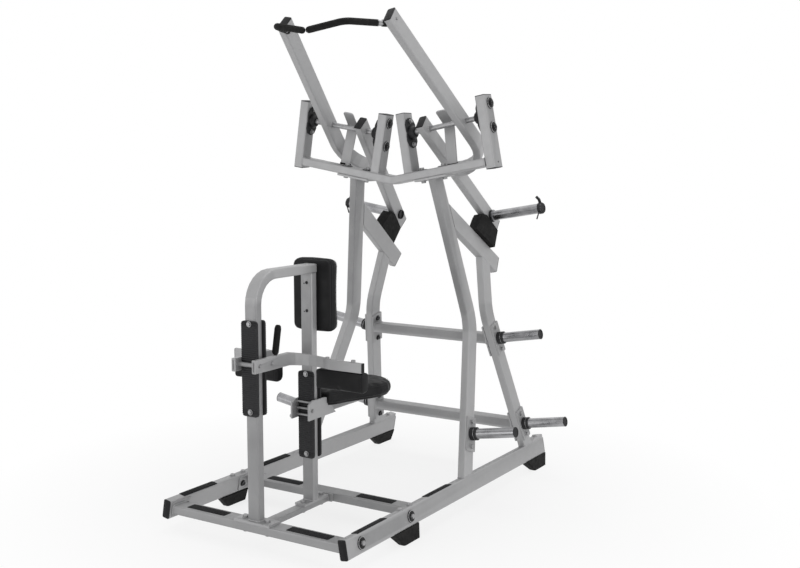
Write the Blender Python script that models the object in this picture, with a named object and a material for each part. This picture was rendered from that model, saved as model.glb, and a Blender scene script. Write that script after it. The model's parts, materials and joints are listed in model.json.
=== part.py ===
"""Plate-loaded lat pulldown machine: every separate piece is its own named object.

Metres, +Z up. x = 0 is the middle plane, +X is the right hand side, the user sits facing -Y and
z = 0 is the floor. Sizes along y are measured from the front ends of the floor rails; the finished
pieces are moved forward by ORIGIN_Y, so the model's origin is on the floor in its middle.
"""

import bpy
import numpy as np
from math import cos, pi, radians, sin, sqrt, tan

for old in list(bpy.data.objects):
    bpy.data.objects.remove(old, do_unlink=True)

# shared sizes
GAP = 0.0003            # air left between two pieces that touch
SINK = 0.001            # how far welded bodies reach into each other
WALL = 0.003            # wall of every rectangular tube
CORNER = 0.006          # outer corner radius of the rectangular tubes
THIN_CORNER = 0.003     # corner radius of plates and flat bars
ARC = 3                 # points on each rounded tube corner
BEND_STEPS = 5          # steps in each tube bend
ROUND = 20              # points round a horn, a shaft or a collar
SMALL_ROUND = 12        # points round a disc or a rod
BAR_ROUND = 12          # points round a handle bar and its grip
BUMP_ROUND = 8          # points round a thin peg

# leaning side frames
LEAN = radians(9.8)     # each side frame leans in by this much
RAIL_X = 0.4775
RAIL_Z = 0.1032
RAIL_WIDE = 0.038
RAIL_HIGH = 0.085
RAIL_LONG = 1.86
LEG_WIDE = 0.040
LEG_DEEP = 0.080
LEG_BEND = 0.25
FRONT_LEG_FOOT = (1.0209, 0.0425)
FRONT_LEG_KNEE = (1.282, 0.749)
FRONT_LEG_TOP = (1.147, 1.4665)
REAR_LEG_FOOT = (RAIL_LONG - 0.180, RAIL_HIGH / 2)
REAR_LEG_KNEE = (1.4595, 0.778)
REAR_LEG_SLOPE = 0.175
GUSSET_HIGH = 0.089

# rail trims
FOOT_TOPS = ((0.343, 0.542), (RAIL_LONG - 0.226, RAIL_LONG + 0.008))
FOOT_FLOORS = ((0.407, 0.537), (RAIL_LONG - 0.140, RAIL_LONG - 0.004))
FOOT_WIDE = 0.046
FOOT_FLOOR_WIDE = 0.036
FOOT_CORNER = 0.008
FOOT_BOLTS_Y = (0.434, 0.510)
BLOCK_Y = (RAIL_LONG - 0.1365, RAIL_LONG - 0.001)
BLOCK_HIGH = 0.017
BLOCK_SLOPE = 0.040
BLOCK_BOLT_Y = RAIL_LONG - 0.060
FRONT_SIDE_BOLT_Y = 0.102
MIDDLE_SIDE_BOLT_Y = 0.485

# crossmembers and the centre beam
CROSS_DEEP = 0.080
CROSS_LOW = 0.080
CROSS_HIGH = 0.040
FRONT_CROSS_Y = 0.052
MIDDLE_CROSS_Y = 0.573
FRONT_CROSS_PLATE_Y = (0.012, 0.130)
MIDDLE_CROSS_PLATE_Y = (0.462, 0.613)
CROSS_PLATE = 0.006
CROSS_PLATE_TALL = 0.066
CROSS_PLATE_HOLE = (0.030, 0.020)
BEAM_WIDE = 0.050
BEAM_HIGH = 0.025
BEAM_WALL = 0.002
BEAM_PLATE = (0.090, 0.038)
BEAM_PLATE_HOLE = (0.020, 0.010)

# centre posts
POST_WIDE = 0.060
POST_DEEP = 0.040
OUTER_Y = 0.043
INNER_Y = 0.425
CANE_TOP = 1.187
CANE_BEND = 0.120
FLANGE_THICK = 0.010
OUTER_FLANGE = (0.190, 0.076)
INNER_FLANGE = (0.060, 0.176)
POST_BOLT_X = 0.060
INNER_BOLTS_Y = (0.365, 0.501)
RATCHET_WIDE = 0.084
RATCHET_THICK = 0.010
RATCHET_TOOTH = 0.0022
RATCHET_PITCH = 0.009
RATCHET_CORNER = 0.012
OUTER_RATCHET_Z = (0.580, 0.985)
INNER_RATCHET_Z = (0.312, 0.710)
RATCHET_BOLT_LOW = 0.020
RATCHET_BOLT_HIGH = 0.014

# crossbars between the rear legs, and the storage horns
BAR_DEEP = 0.080
BAR_HIGH = 0.050
UPPER_BAR_H = 0.636
LOWER_BAR_H = 0.163
PLATE_THICK = 0.008
BAR_PLATE = (0.080, 0.165)
BAR_PLATE_HOLE = (0.040, 0.020)
HORN_PLATE = (0.075, 0.165)
PLATE_BOLT = 0.060
HORN_RADIUS = 0.025
HORN_WALL = 0.003
HORN_END = 0.264
HORN_ROOT = 0.034
HORN_ROOT_RADIUS = 0.031
LOW_FRONT_HORN_H = 0.229

# crown
CROWN_Y = 1.134
TOE = radians(2.5)      # the two crown halves are toed in by this much
CROWN_BEAM = (0.080, 0.040)
CROWN_BEAM_H = FRONT_LEG_TOP[1] + FLANGE_THICK + GAP
CROWN_BEAM_TOP = CROWN_BEAM_H + CROWN_BEAM[1]
CROWN_HOLE = 0.006
SHAFT_H = CROWN_BEAM_TOP + 0.1907
UPRIGHT_WIDE = 0.050
UPRIGHT_DEEP = 0.075
INBOARD_S = -0.122
INBOARD_TOP = SHAFT_H + 0.0965
OUTBOARD_S = 0.336
OUTBOARD_H = (CROWN_BEAM_H - 0.010, SHAFT_H + 0.0935)
OUTBOARD_TILT = radians(2)      # the outboard uprights lean forward by this much
CROWN_FLANGE_S = 0.090
CROWN_FLANGE_BOLT = 0.062
SHAFT_RADIUS = 0.0127
BEARING_THICK = 0.030
BEARING_FLANGE = 0.007
BEARING_SHOULDER = 0.019
BEARING_NOSE = 0.026
BEARING_POINTS = 16
BEARING_LONG = 0.074
BEARING_WIDE = 0.034
BEARING_BOLT = 0.0565
DISC_RADIUS = 0.027
DISC_THICK = 0.005
BRACKET_S = 0.094
BRACKET_WIDE = 0.058
BRACKET_THICK = 0.008
BRACKET_PATH = ((CROWN_Y + 0.031, CROWN_BEAM_TOP), (CROWN_Y + 0.056, SHAFT_H + 0.0085),
                (CROWN_Y - 0.008, SHAFT_H + 0.0725))
BRACKET_BEND = 0.040
BRACKET_CORNER = 0.010

# gusset arms, which follow the height of the shafts
GUSSET_EDGE = (1.199, SHAFT_H - 0.3565)
GUSSET_TIP = (1.650, SHAFT_H - 0.6635)

# swinging arms
ARM_ANGLE = radians(43.38)
ARM_TILT = (cos(ARM_ANGLE), -sin(ARM_ANGLE))
HANDLE_ARM_S = 0.202
HANDLE_ARM = (0.040, 0.078)
HANDLE_ARM_REACH = -0.665
HANDLE_ARM_TURN = 0.125
HANDLE_ARM_BEND = 0.165
WEIGHT_ARM_S = -0.004
WEIGHT_ARM = (0.040, 0.075)
WEIGHT_ARM_ANGLE = radians(43.785)
WEIGHT_ARM_TILT = (cos(WEIGHT_ARM_ANGLE), -sin(WEIGHT_ARM_ANGLE))
WEIGHT_ARM_ENDS = (-0.050, 0.723)
WEIGHT_HORN_T = 0.648
WEIGHT_HORN = (CROWN_Y + WEIGHT_ARM_TILT[0] * WEIGHT_HORN_T, SHAFT_H + WEIGHT_ARM_TILT[1] * WEIGHT_HORN_T)
WEIGHT_HORN_END = 0.314
LOCK_S = (0.296, 0.311)
LOCK_RADIUS = 0.029
LOCK_LEVER = ((0.044, -0.003), (0.060, -0.016))     # (rise, shift outwards) of the lever's centreline
LOCK_LEVER_SIZE = (0.014, 0.012)
LOCK_BEND = 0.012
LOCK_PEG_ROOT = (-0.0240, -0.0168)      # (back, up) of the peg's root from the horn's axis
LOCK_PEG_END = (-0.018, -0.024, -0.052)     # (out, back, up) of the peg's end
LOCK_PEG_RADIUS = 0.0035

# arm bumpers: places are (along the weight arm, below its axis)
BUMPER_HALF = 0.027
BUMPER_TOUCH = (0.720, 0.600)
BUMPER_SHOULDER = ((0.565, 0.056), (0.559, 0.087))
BUMPER_FOOT = ((0.739, 0.138), (0.557, 0.168))

# pull handles: places are (x, y, z) from the right pivot
HANDLE_ROOT = (-0.640, -0.022)
HANDLE_BEND_POINT = (-0.0009, -0.684, 0.4422)
HANDLE_INNER_POINT = (-0.1829, -0.715, 0.4092)
BAR_RADIUS = 0.0125
BAR_WALL = 0.0025
GRIP_RADIUS = 0.0150
GRIP_BEND = 0.060
GRIP_END = ((0.45, 0.90), (0.80, 0.62))     # (reach, size) of the rounded end, as shares of its radius
COLLAR_FROM = 0.046
COLLAR_LONG = 0.006

# bolts
HEX_FLAT = 0.019
HEX_HIGH = 0.009
NUT_HIGH = 0.010
MIDDLE_HEX_FLAT = 0.016
SMALL_HEX_FLAT = 0.013
SMALL_HEX_HIGH = 0.006

# seat
CARRIAGE_X = (0.043, 0.051)
SEAT_PLATE = ((0.351, 0.497), (0.351, 0.568), (0.381, 0.584), (0.481, 0.581), (0.553, 0.500))
SEAT_BARS_Z = (0.513, 0.542, 0.571)
SEAT_BAR = (0.011, 0.009)
SEAT_WEB = (0.010, 0.074)
SEAT_PLATE_BOLT = (0.375, 0.538)
SEAT_PIN = (0.362, 0.507)
SEAT_TUBE = (0.050, 0.040)
SEAT_TUBE_Z = 0.500
SEAT_TUBE_END = 0.840
SEAT_OUTLINE = ((0.478, 0.066), (0.520, 0.090), (0.580, 0.106), (0.640, 0.129), (0.700, 0.158),
                (0.760, 0.174), (0.818, 0.173), (0.870, 0.153), (0.910, 0.110), (0.931, 0.051))
SEAT_BOARD = 0.012
SEAT_BOARD_IN = 0.014
SEAT_FOAM = 0.056
SEAT_CROWN = 0.007
SEAT_CLEAR = 0.0015
SEAT_SIDES = ((0.0, 0.010), (0.10, 0.002), (0.35, 0.0), (0.65, 0.002), (0.86, 0.010), (0.98, 0.026))

# thigh hold-down
THIGH_ARM_THICK = 0.020
THIGH_ARM_OUT = 0.064
THIGH_FRONT_Y = -0.021
THIGH_Y = 0.335
THIGH_ARM_END = 0.347
THIGH_BEND = 0.130
THIGH_FRONT_HIGH = 0.056
THIGH_END_HIGH = 0.043
THIGH_FRONT_Z = 0.802
THIGH_END_Z = 0.768
THIGH_ROD_RADIUS = 0.009
THIGH_ROD_Z = 0.803
THIGH_PAD_X = (0.105, 0.355)
THIGH_PAD_Y = (0.325, 0.375)
THIGH_PAD_LOW = 0.657
THIGH_PAD_BACK = 0.028
THIGH_BOLT_X = (0.165, 0.300)
THIGH_LEVER_XY = (0.053, 0.119)
THIGH_LEVER_TOP = (0.055, 0.138, 0.957)
THIGH_LEVER_RADIUS = 0.0145
THIGH_LEVER_END = ((0.86, 1.0), (0.96, 0.82), (1.0, 0.45))      # (share of the length, size)
THIGH_PAD_END = ((0.0, 0.86), (0.004, 0.96), (0.012, 1.0))      # (distance from the end, size)

# chest pad
CHEST_HALF = 0.110
CHEST_Z = (0.880, 1.212)
CHEST_CORNER = 0.034
CHEST_BOARD = 0.010
CHEST_BOARD_IN = 0.008
CHEST_FOAM = 0.060
CHEST_CROWN = 0.006
CHEST_SIDES = ((0.0, 0.008), (0.10, 0.002), (0.35, 0.0), (0.62, 0.002), (0.84, 0.009), (0.96, 0.022))
CHEST_BOLTS_Z = (0.980, 1.105)
CHEST_BOLT = (0.0055, 0.002)
PAD_CROWN = (0.62, 0.28)        # sizes of the loops that round off a pad's broad face

# the model's origin: its front and rear ends are those of the thigh arms and the rear feet
ORIGIN_Y = (THIGH_FRONT_Y + FOOT_TOPS[1][1]) / 2

X_AXIS = np.array([1.0, 0.0, 0.0])
Y_AXIS = np.array([0.0, 1.0, 0.0])
Z_AXIS = np.array([0.0, 0.0, 1.0])


# materials
def material(name, colour, metallic, rough):
    made = bpy.data.materials.new(name)
    made.use_nodes = True
    shader = made.node_tree.nodes["Principled BSDF"]
    shader.inputs["Base Color"].default_value = (*colour, 1.0)
    shader.inputs["Metallic"].default_value = metallic
    shader.inputs["Roughness"].default_value = rough
    return made


KINDS = {
    "silver": ((0.36, 0.36, 0.37), 0.35, 0.45),
    "plastic": ((0.020, 0.020, 0.022), 0.0, 0.45),
    "rubber": ((0.016, 0.016, 0.017), 0.0, 0.75),
    "vinyl": ((0.018, 0.018, 0.020), 0.0, 0.55),
    "zinc": ((0.55, 0.55, 0.56), 0.9, 0.35),
    "chrome": ((0.72, 0.72, 0.73), 1.0, 0.18),
}


# frames
def unit(v):
    v = np.asarray(v, float)
    return v / np.linalg.norm(v)


def side_axes(side):
    """Outward, back and up directions of one leaning side frame."""
    out = np.array([side * cos(LEAN), 0.0, sin(LEAN)])
    up = np.array([-side * sin(LEAN), 0.0, cos(LEAN)])
    return out, Y_AXIS, up


def side_point(side, s, y, h):
    out, back, up = side_axes(side)
    return np.array([side * RAIL_X, 0.0, RAIL_Z]) + out * s + back * y + up * h


def crown_axes(side):
    """The crown turns from the side frame by TOE about the frame's up direction."""
    out, back, up = side_axes(side)
    return out * cos(TOE) - back * sin(TOE), back * cos(TOE) + out * sin(TOE), up


def crown_point(side, s, y, h):
    out, back, up = crown_axes(side)
    origin = np.array([side * RAIL_X, CROWN_Y, RAIL_Z])
    return origin + out * s + back * (y - CROWN_Y) + up * h


def crown_vector(side, y, h):
    out, back, up = crown_axes(side)
    return back * y + up * h


# outlines
def rounded(width, height, radius, steps=ARC):
    """Rounded rectangle as (a, b) points, anticlockwise."""
    radius = min(radius, width / 2 - 1e-5, height / 2 - 1e-5)
    points = []
    for quarter in range(4):
        sx = (1, -1, -1, 1)[quarter]
        sy = (1, 1, -1, -1)[quarter]
        for step in range(steps):
            angle = pi / 2 * (quarter + step / (steps - 1))
            points.append((sx * (width / 2 - radius) + radius * cos(angle),
                           sy * (height / 2 - radius) + radius * sin(angle)))
    return points


def rectangle(width, height):
    half = width / 2
    rise = height / 2
    return [(half, rise), (-half, rise), (-half, -rise), (half, -rise)]


def circle(radius, count=ROUND):
    return [(radius * cos(2 * pi * i / count), radius * sin(2 * pi * i / count)) for i in range(count)]


def hexagon(flat):
    return circle(flat / sqrt(3), 6)


def oval(half_long, half_wide, count):
    """Flattened oval plate outline: two small ends joined to a wide round middle."""
    points = []
    for i in range(count):
        angle = 2 * pi * i / count
        stretch = abs(sin(angle)) ** 1.6
        radius = half_wide + (half_long - half_wide) * stretch
        points.append((radius * cos(angle), radius * sin(angle)))
    return points


# bodies
def signed_volume(points, faces):
    total = 0.0
    for face in faces:
        a = points[face[0]]
        for i in range(1, len(face) - 1):
            total += np.dot(a, np.cross(points[face[i]], points[face[i + 1]]))
    return total


def facing_out(points, faces):
    if signed_volume(points, faces) < 0:
        faces = [tuple(reversed(face)) for face in faces]
    return points, faces


def skin(first, count, rings):
    """Faces round a row of loops of equal length."""
    faces = []
    for k in range(first, first + (rings - 1) * count, count):
        for i in range(count):
            j = (i + 1) % count
            faces.append((k + i, k + j, k + count + j, k + count + i))
    return faces


def rim(outer, count, inner, bore_count):
    """Faces between an outer loop and a bore loop whose points go round in step with it."""
    share = count // bore_count
    faces = []
    for i in range(count):
        j = (i + 1) % count
        a = inner + i // share
        b = inner + j // share
        corners = (outer + j, outer + i, a, b)
        faces.append(corners if a != b else corners[:3])
    return faces


def loft(loops, inner=None):
    """A closed body through loops of equal length, with an optional bore through it."""
    count = len(loops[0])
    points = [p for loop in loops for p in loop]
    faces = skin(0, count, len(loops))
    last = (len(loops) - 1) * count
    if inner is None:
        faces.append(tuple(reversed(range(count))))
        faces.append(tuple(last + i for i in range(count)))
        return facing_out(points, faces)
    base = len(points)
    bore_count = len(inner[0])
    points += [p for loop in inner for p in loop]
    faces += [tuple(reversed(face)) for face in skin(base, bore_count, len(inner))]
    faces += rim(0, count, base, bore_count)
    far = rim(last, count, base + (len(inner) - 1) * bore_count, bore_count)
    faces += [tuple(reversed(face)) for face in far]
    return facing_out(points, faces)


def placed(outline, station):
    origin, u, v = station
    return [origin + u * a + v * b for a, b in outline]


def sheared(loop, along, plane):
    """Slides each point along a direction until it lies in the plane (point, normal)."""
    point, normal = plane
    return [p + along * (np.dot(point - p, normal) / np.dot(along, normal)) for p in loop]


def sweep(outline, stations, bore=None, first=None, last=None):
    """Carries an outline through stations; first and last are optional cutting planes."""
    loops = [placed(outline, s) for s in stations]
    inner = [placed(bore, s) for s in stations] if bore else None
    start = unit(stations[1][0] - stations[0][0])
    end = unit(stations[-1][0] - stations[-2][0])
    for group in (loops, inner):
        if group is None:
            continue
        if first is not None:
            group[0] = sheared(group[0], start, first)
        if last is not None:
            group[-1] = sheared(group[-1], end, last)
    return loft(loops, inner)


def bent_path(points, radii, steps=BEND_STEPS):
    """Points of a centreline with each inner corner rounded, and the direction at each."""
    points = [np.asarray(p, float) for p in points]
    out = [(points[0], unit(points[1] - points[0]))]
    for i in range(1, len(points) - 1):
        before = unit(points[i] - points[i - 1])
        after = unit(points[i + 1] - points[i])
        turn = np.arccos(np.clip(np.dot(before, after), -1, 1))
        cut = radii[i - 1] * tan(turn / 2)
        side = unit(after - before * np.dot(before, after))
        centre = points[i] - before * cut + side * radii[i - 1]
        for k in range(steps + 1):
            angle = turn * k / steps
            where = centre - side * radii[i - 1] * cos(angle) + before * radii[i - 1] * sin(angle)
            out.append((where, before * cos(angle) + side * sin(angle)))
    out.append((points[-1], unit(points[-1] - points[-2])))
    return out


def stations_along(path, across):
    """Stations whose first axis stays the same, for a bend that turns about it."""
    return [(where, across, np.cross(aim, across)) for where, aim in path]


def round_stations(path):
    """Stations for a round section, carried along without twisting."""
    first = path[0][1]
    u = unit(np.cross(first, Z_AXIS if abs(first[2]) < 0.9 else X_AXIS))
    out = []
    for where, aim in path:
        u = unit(u - aim * np.dot(u, aim))
        out.append((where, u, np.cross(aim, u)))
    return out


def box_tube(width, height, stations, first=None, last=None, corner=CORNER, wall=WALL):
    bore = rectangle(width - 2 * wall, height - 2 * wall)
    return sweep(rounded(width, height, corner), stations, bore, first, last)


def straight(start, end, across):
    """Two stations from start to end; across is the direction of the outline's first axis."""
    aim = unit(np.asarray(end) - np.asarray(start))
    across = unit(across - aim * np.dot(across, aim))
    return [(np.asarray(start, float), across, np.cross(aim, across)),
            (np.asarray(end, float), across, np.cross(aim, across))]


def slab(centre, aim, across, width, height, thick, corner=THIN_CORNER):
    """A flat plate that starts at centre and is thick along aim."""
    centre = np.asarray(centre, float)
    return sweep(rounded(width, height, corner), straight(centre, centre + unit(aim) * thick, across))


def rod(start, end, radius, count=SMALL_ROUND, bore=None):
    stations = straight(start, end, side_vector(np.asarray(end, float) - np.asarray(start, float)))
    inner = circle(bore, count) if bore else None
    return sweep(circle(radius, count), stations, inner)


def side_vector(aim):
    return np.cross(unit(aim), Z_AXIS if abs(unit(aim)[2]) < 0.9 else X_AXIS)


def ring(start, end, outer, inner, count=ROUND):
    return rod(start, end, outer, count, inner)


def bolt(where, aim, flat=HEX_FLAT, high=HEX_HIGH):
    """A hexagon head or nut on a face, reaching a little into it."""
    aim = unit(aim)
    start = np.asarray(where, float)
    return sweep(hexagon(flat), straight(start - aim * SINK, start + aim * high, side_vector(aim)))


def disc(where, aim, radius=DISC_RADIUS, thick=DISC_THICK):
    aim = unit(aim)
    where = np.asarray(where, float)
    return rod(where - aim * SINK, where + aim * thick, radius)


# objects
def link(name, body, pivot, home=None):
    """A mesh object from one closed body, with its origin at pivot."""
    points, faces = body
    mesh = bpy.data.meshes.new(name)
    mesh.from_pydata([tuple(p - pivot) for p in points], [], faces)
    mesh.update()
    made = bpy.data.objects.new(name, mesh)
    made.location = tuple(pivot - Y_AXIS * ORIGIN_Y)
    (home or bpy.context.scene.collection).objects.link(made)
    return made


def make(name, bodies, kind, smooth=30, pivot=(0.0, 0.0, 0.0), cut=None, keep=None):
    """One sub-part: the first body, trimmed to keep, welded to the others, less the cutters."""
    pivot = np.asarray(pivot, float)
    made = link(name, bodies[0], pivot)
    made.data.materials.append(material(name + "_" + kind, *KINDS[kind]))
    steps = (("INTERSECT", keep), ("UNION", bodies[1:]), ("DIFFERENCE", cut))
    for operation, tools in steps:
        if not tools:
            continue
        shelf = bpy.data.collections.new(name + "_" + operation.lower())
        bpy.context.scene.collection.children.link(shelf)
        for number, tool in enumerate(tools):
            helper = link(shelf.name + "_" + str(number), tool, pivot, shelf)
            helper.hide_render = True
            helper.display_type = "WIRE"
        modifier = made.modifiers.new(operation.lower(), "BOOLEAN")
        modifier.operation = operation
        modifier.solver = "EXACT"
        modifier.operand_type = "COLLECTION"
        modifier.collection = shelf
    if smooth:
        made.data.shade_smooth()
        made.data.set_sharp_from_angle(angle=radians(smooth))
    return made


SIDES = ((1, "right"), (-1, "left"))


# floor rails with their end blocks and rubber feet
def rail_block(side):
    """The raised pad on the rear end of a rail, with its hollowed front slope."""
    low = RAIL_HIGH / 2 - SINK
    high = RAIL_HIGH / 2 + BLOCK_HIGH
    front, rear = BLOCK_Y
    profile = [(front, low), (rear, low), (rear, high)]
    for share in (1.0, 0.75, 0.5, 0.25, 0.0):
        profile.append((front + BLOCK_SLOPE * share, low + SINK + BLOCK_HIGH * (0.1 + 0.9 * share ** 2)))
    half = RAIL_WIDE / 2 - SINK
    return loft([[side_point(side, s, y, h) for y, h in profile] for s in (-half, half)])


def rubber_foot(side, top, floor):
    out, back, up = side_axes(side)
    top_middle = side_point(side, 0, sum(top) / 2, -RAIL_HIGH / 2 - GAP)
    floor_middle = top_middle - up * top_middle[2] / cos(LEAN)
    floor_middle[1] = sum(floor) / 2
    upper = rounded(FOOT_WIDE, top[1] - top[0], FOOT_CORNER)
    lower = rounded(FOOT_FLOOR_WIDE, floor[1] - floor[0], FOOT_CORNER)
    return loft([placed(upper, (top_middle, out, back)), placed(lower, (floor_middle, side * X_AXIS, back))])


for side, label in SIDES:
    out, back, up = side_axes(side)
    ends = (side_point(side, 0, 0, 0), side_point(side, 0, RAIL_LONG, 0))
    bodies = [box_tube(RAIL_WIDE, RAIL_HIGH, straight(*ends, out)), rail_block(side)]
    bodies.append(bolt(side_point(side, 0, BLOCK_BOLT_Y, RAIL_HIGH / 2 + BLOCK_HIGH), up))
    for y in FOOT_BOLTS_Y:
        bodies.append(bolt(side_point(side, 0, y, RAIL_HIGH / 2), up))
    for y in (FRONT_SIDE_BOLT_Y, MIDDLE_SIDE_BOLT_Y):
        face = side_point(side, RAIL_WIDE / 2, y, 0)
        bodies.append(disc(face, out))
        bodies.append(bolt(face + out * DISC_THICK, out))
    make(label + "_floor_rail", bodies, "silver")
    for place, top, floor in zip(("front", "rear"), FOOT_TOPS, FOOT_FLOORS):
        make(label + "_" + place + "_foot", [rubber_foot(side, top, floor)], "rubber")


# crossmembers and the centre beam
def between_sides(y, z, deep, high, s):
    """A level tube across the machine, cut to the planes s of both side frames."""
    cuts = [(side_point(side, s, y, 0), side_axes(side)[0]) for side in (-1, 1)]
    return box_tube(deep, high, straight((-RAIL_X, y, z), (RAIL_X, y, z), Y_AXIS), cuts[0], cuts[1])


def side_plate(side, s, y, h, deep, tall, aim=(0.0, 1.0), thick=PLATE_THICK, hole=None):
    """A plate flat against a side frame; aim is its long direction as (y, h)."""
    out, back, up = side_axes(side)
    aim = unit(aim)
    across = back * aim[1] - up * aim[0]
    start = side_point(side, s, y, h)
    bore = rectangle(*hole) if hole else None
    return sweep(rounded(deep, tall, THIN_CORNER), straight(start, start + out * thick, across), bore)


def crossmember(name, y, plate_ends, bolt_y, post_bolts):
    plate_s = -RAIL_WIDE / 2 - GAP - CROSS_PLATE
    bodies = [between_sides(y, CROSS_LOW + CROSS_HIGH / 2, CROSS_DEEP, CROSS_HIGH, plate_s + SINK)]
    middle = sum(plate_ends) / 2
    for side, label in SIDES:
        bodies.append(side_plate(side, plate_s, middle, 0, plate_ends[1] - plate_ends[0], CROSS_PLATE_TALL,
                                 thick=CROSS_PLATE, hole=CROSS_PLATE_HOLE))
        bodies.append(bolt(side_point(side, plate_s, bolt_y, 0), -side_axes(side)[0], HEX_FLAT, NUT_HIGH))
    for x in post_bolts:
        bodies.append(bolt((x, OUTER_Y, CROSS_LOW), -Z_AXIS, HEX_FLAT, NUT_HIGH))
    make(name, bodies, "silver")


post_bolts = (-POST_BOLT_X, POST_BOLT_X)
crossmember("front_crossmember", FRONT_CROSS_Y, FRONT_CROSS_PLATE_Y, FRONT_SIDE_BOLT_Y, post_bolts)
crossmember("middle_crossmember", MIDDLE_CROSS_Y, MIDDLE_CROSS_PLATE_Y, MIDDLE_SIDE_BOLT_Y, ())

beam_start = FRONT_CROSS_Y + CROSS_DEEP / 2 + GAP
beam_end = MIDDLE_CROSS_Y - CROSS_DEEP / 2 - GAP
beam_z = CROSS_LOW + BEAM_HIGH / 2
inside = (beam_start + CROSS_PLATE - SINK, beam_end - CROSS_PLATE + SINK)
bodies = [box_tube(BEAM_WIDE, BEAM_HIGH, straight((0, inside[0], beam_z), (0, inside[1], beam_z), X_AXIS),
                   corner=THIN_CORNER, wall=BEAM_WALL)]
plate_z = CROSS_LOW + BEAM_PLATE[1] / 2
for y in (beam_start, beam_end - CROSS_PLATE):
    stations = straight((0, y, plate_z), (0, y + CROSS_PLATE, plate_z), X_AXIS)
    bodies.append(sweep(rounded(*BEAM_PLATE, THIN_CORNER), stations, rectangle(*BEAM_PLATE_HOLE)))
for y in INNER_BOLTS_Y:
    bodies.append(bolt((0, y, CROSS_LOW), -Z_AXIS, HEX_FLAT, NUT_HIGH))
make("centre_beam", bodies, "silver")

# centre posts
flange_top = CROSS_LOW + CROSS_HIGH + GAP + FLANGE_THICK
cane_axis = CANE_TOP - POST_DEEP / 2
post_front = INNER_Y - POST_DEEP / 2
post_back = INNER_Y + POST_DEEP / 2
path = bent_path([(0, OUTER_Y, flange_top - SINK), (0, OUTER_Y, cane_axis), (0, post_back, cane_axis)],
                 [CANE_BEND], 7)
bodies = [box_tube(POST_WIDE, POST_DEEP, stations_along(path, X_AXIS))]
bodies.append(slab((0, OUTER_Y, flange_top - FLANGE_THICK), Z_AXIS, X_AXIS, *OUTER_FLANGE, FLANGE_THICK))
for x in (-POST_BOLT_X, POST_BOLT_X):
    bodies.append(bolt((x, OUTER_Y, flange_top), Z_AXIS))
make("outer_post", bodies, "silver")

inner_top = CROSS_LOW + BEAM_HIGH + GAP + FLANGE_THICK
ends = ((0, INNER_Y, inner_top - SINK), (0, INNER_Y, CANE_TOP - POST_DEEP - GAP))
bodies = [box_tube(POST_WIDE, POST_DEEP, straight(*ends, X_AXIS))]
flange_y = sum(INNER_BOLTS_Y) / 2
bodies.append(slab((0, flange_y, inner_top - FLANGE_THICK), Z_AXIS, X_AXIS, *INNER_FLANGE, FLANGE_THICK))
for y in INNER_BOLTS_Y:
    bodies.append(bolt((0, y, inner_top), Z_AXIS))
for z in CHEST_BOLTS_Z:
    bodies.append(disc((0, post_front, z), -Y_AXIS, *CHEST_BOLT))
make("inner_post", bodies, "silver")


def ratchet(name, post_y, way, ends):
    """A toothed plate on the front (way -1) or back (way 1) face of a post."""
    count = round((ends[1] - ends[0]) / RATCHET_PITCH)
    pitch = (ends[1] - ends[0]) / count
    face = post_y + way * (POST_DEEP / 2 + GAP)
    root = RATCHET_THICK - RATCHET_TOOTH
    profile = [(0.0, ends[0]), (0.0, ends[1])]
    for k in range(count, 0, -1):
        top = ends[0] + k * pitch
        profile.append((root, top))
        profile.append((RATCHET_THICK, top - pitch / 2))
    profile.append((root, ends[0]))
    half = RATCHET_WIDE / 2 + SINK
    plate = loft([[np.array([x, face + way * d, z]) for d, z in profile] for x in (-half, half)])
    middle = np.array([0, face - way * SINK, sum(ends) / 2])
    blank = slab(middle, way * Y_AXIS, X_AXIS, RATCHET_WIDE, ends[1] - ends[0] - 2 * SINK,
                 RATCHET_THICK + 3 * SINK, RATCHET_CORNER)
    heads = []
    for z in (ends[0] + RATCHET_BOLT_LOW, ends[1] - RATCHET_BOLT_HIGH):
        head = (0, face + way * (RATCHET_THICK - SINK), z)
        heads.append(bolt(head, way * Y_AXIS, MIDDLE_HEX_FLAT, SMALL_HEX_HIGH))
    make(name, [plate] + heads, "plastic", 0, keep=[blank])


for name, post_y, ends in (("outer", OUTER_Y, OUTER_RATCHET_Z), ("inner", INNER_Y, INNER_RATCHET_Z)):
    ratchet(name + "_front_ratchet", post_y, -1, ends)
    ratchet(name + "_rear_ratchet", post_y, 1, ends)

# legs and gusset arms
GUSSET_AIM = unit(np.subtract(GUSSET_TIP, GUSSET_EDGE))
GUSSET_UP = np.array([-GUSSET_AIM[1], GUSSET_AIM[0]])
GUSSET_SLOPE = GUSSET_AIM[1] / GUSSET_AIM[0]
FRONT_AIM = unit(np.subtract(FRONT_LEG_KNEE, FRONT_LEG_FOOT))
REAR_AIM = unit(np.subtract(REAR_LEG_KNEE, REAR_LEG_FOOT))


def gusset_plane(side, down):
    """The plane that lies this far below the top edge of a gusset arm."""
    out, back, up = side_axes(side)
    normal = back * GUSSET_UP[0] + up * GUSSET_UP[1]
    return side_point(side, 0, *GUSSET_EDGE) - normal * down, normal


def rear_leg_top():
    """(y, h) where the upper part of a rear leg meets the underside of the gusset arm."""
    edge = GUSSET_EDGE[1] + (REAR_LEG_KNEE[0] - GUSSET_EDGE[0]) * GUSSET_SLOPE
    underside = edge - GUSSET_HIGH / GUSSET_AIM[0]
    rise = (underside - REAR_LEG_KNEE[1]) / (1 - REAR_LEG_SLOPE * GUSSET_SLOPE)
    return REAR_LEG_KNEE[0] + REAR_LEG_SLOPE * rise, REAR_LEG_KNEE[1] + rise


def on_leg(foot, aim, h):
    """(y, h) of the point at height h on the lower part of a leg."""
    return foot[0] + (h - foot[1]) * aim[0] / aim[1], h


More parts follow.
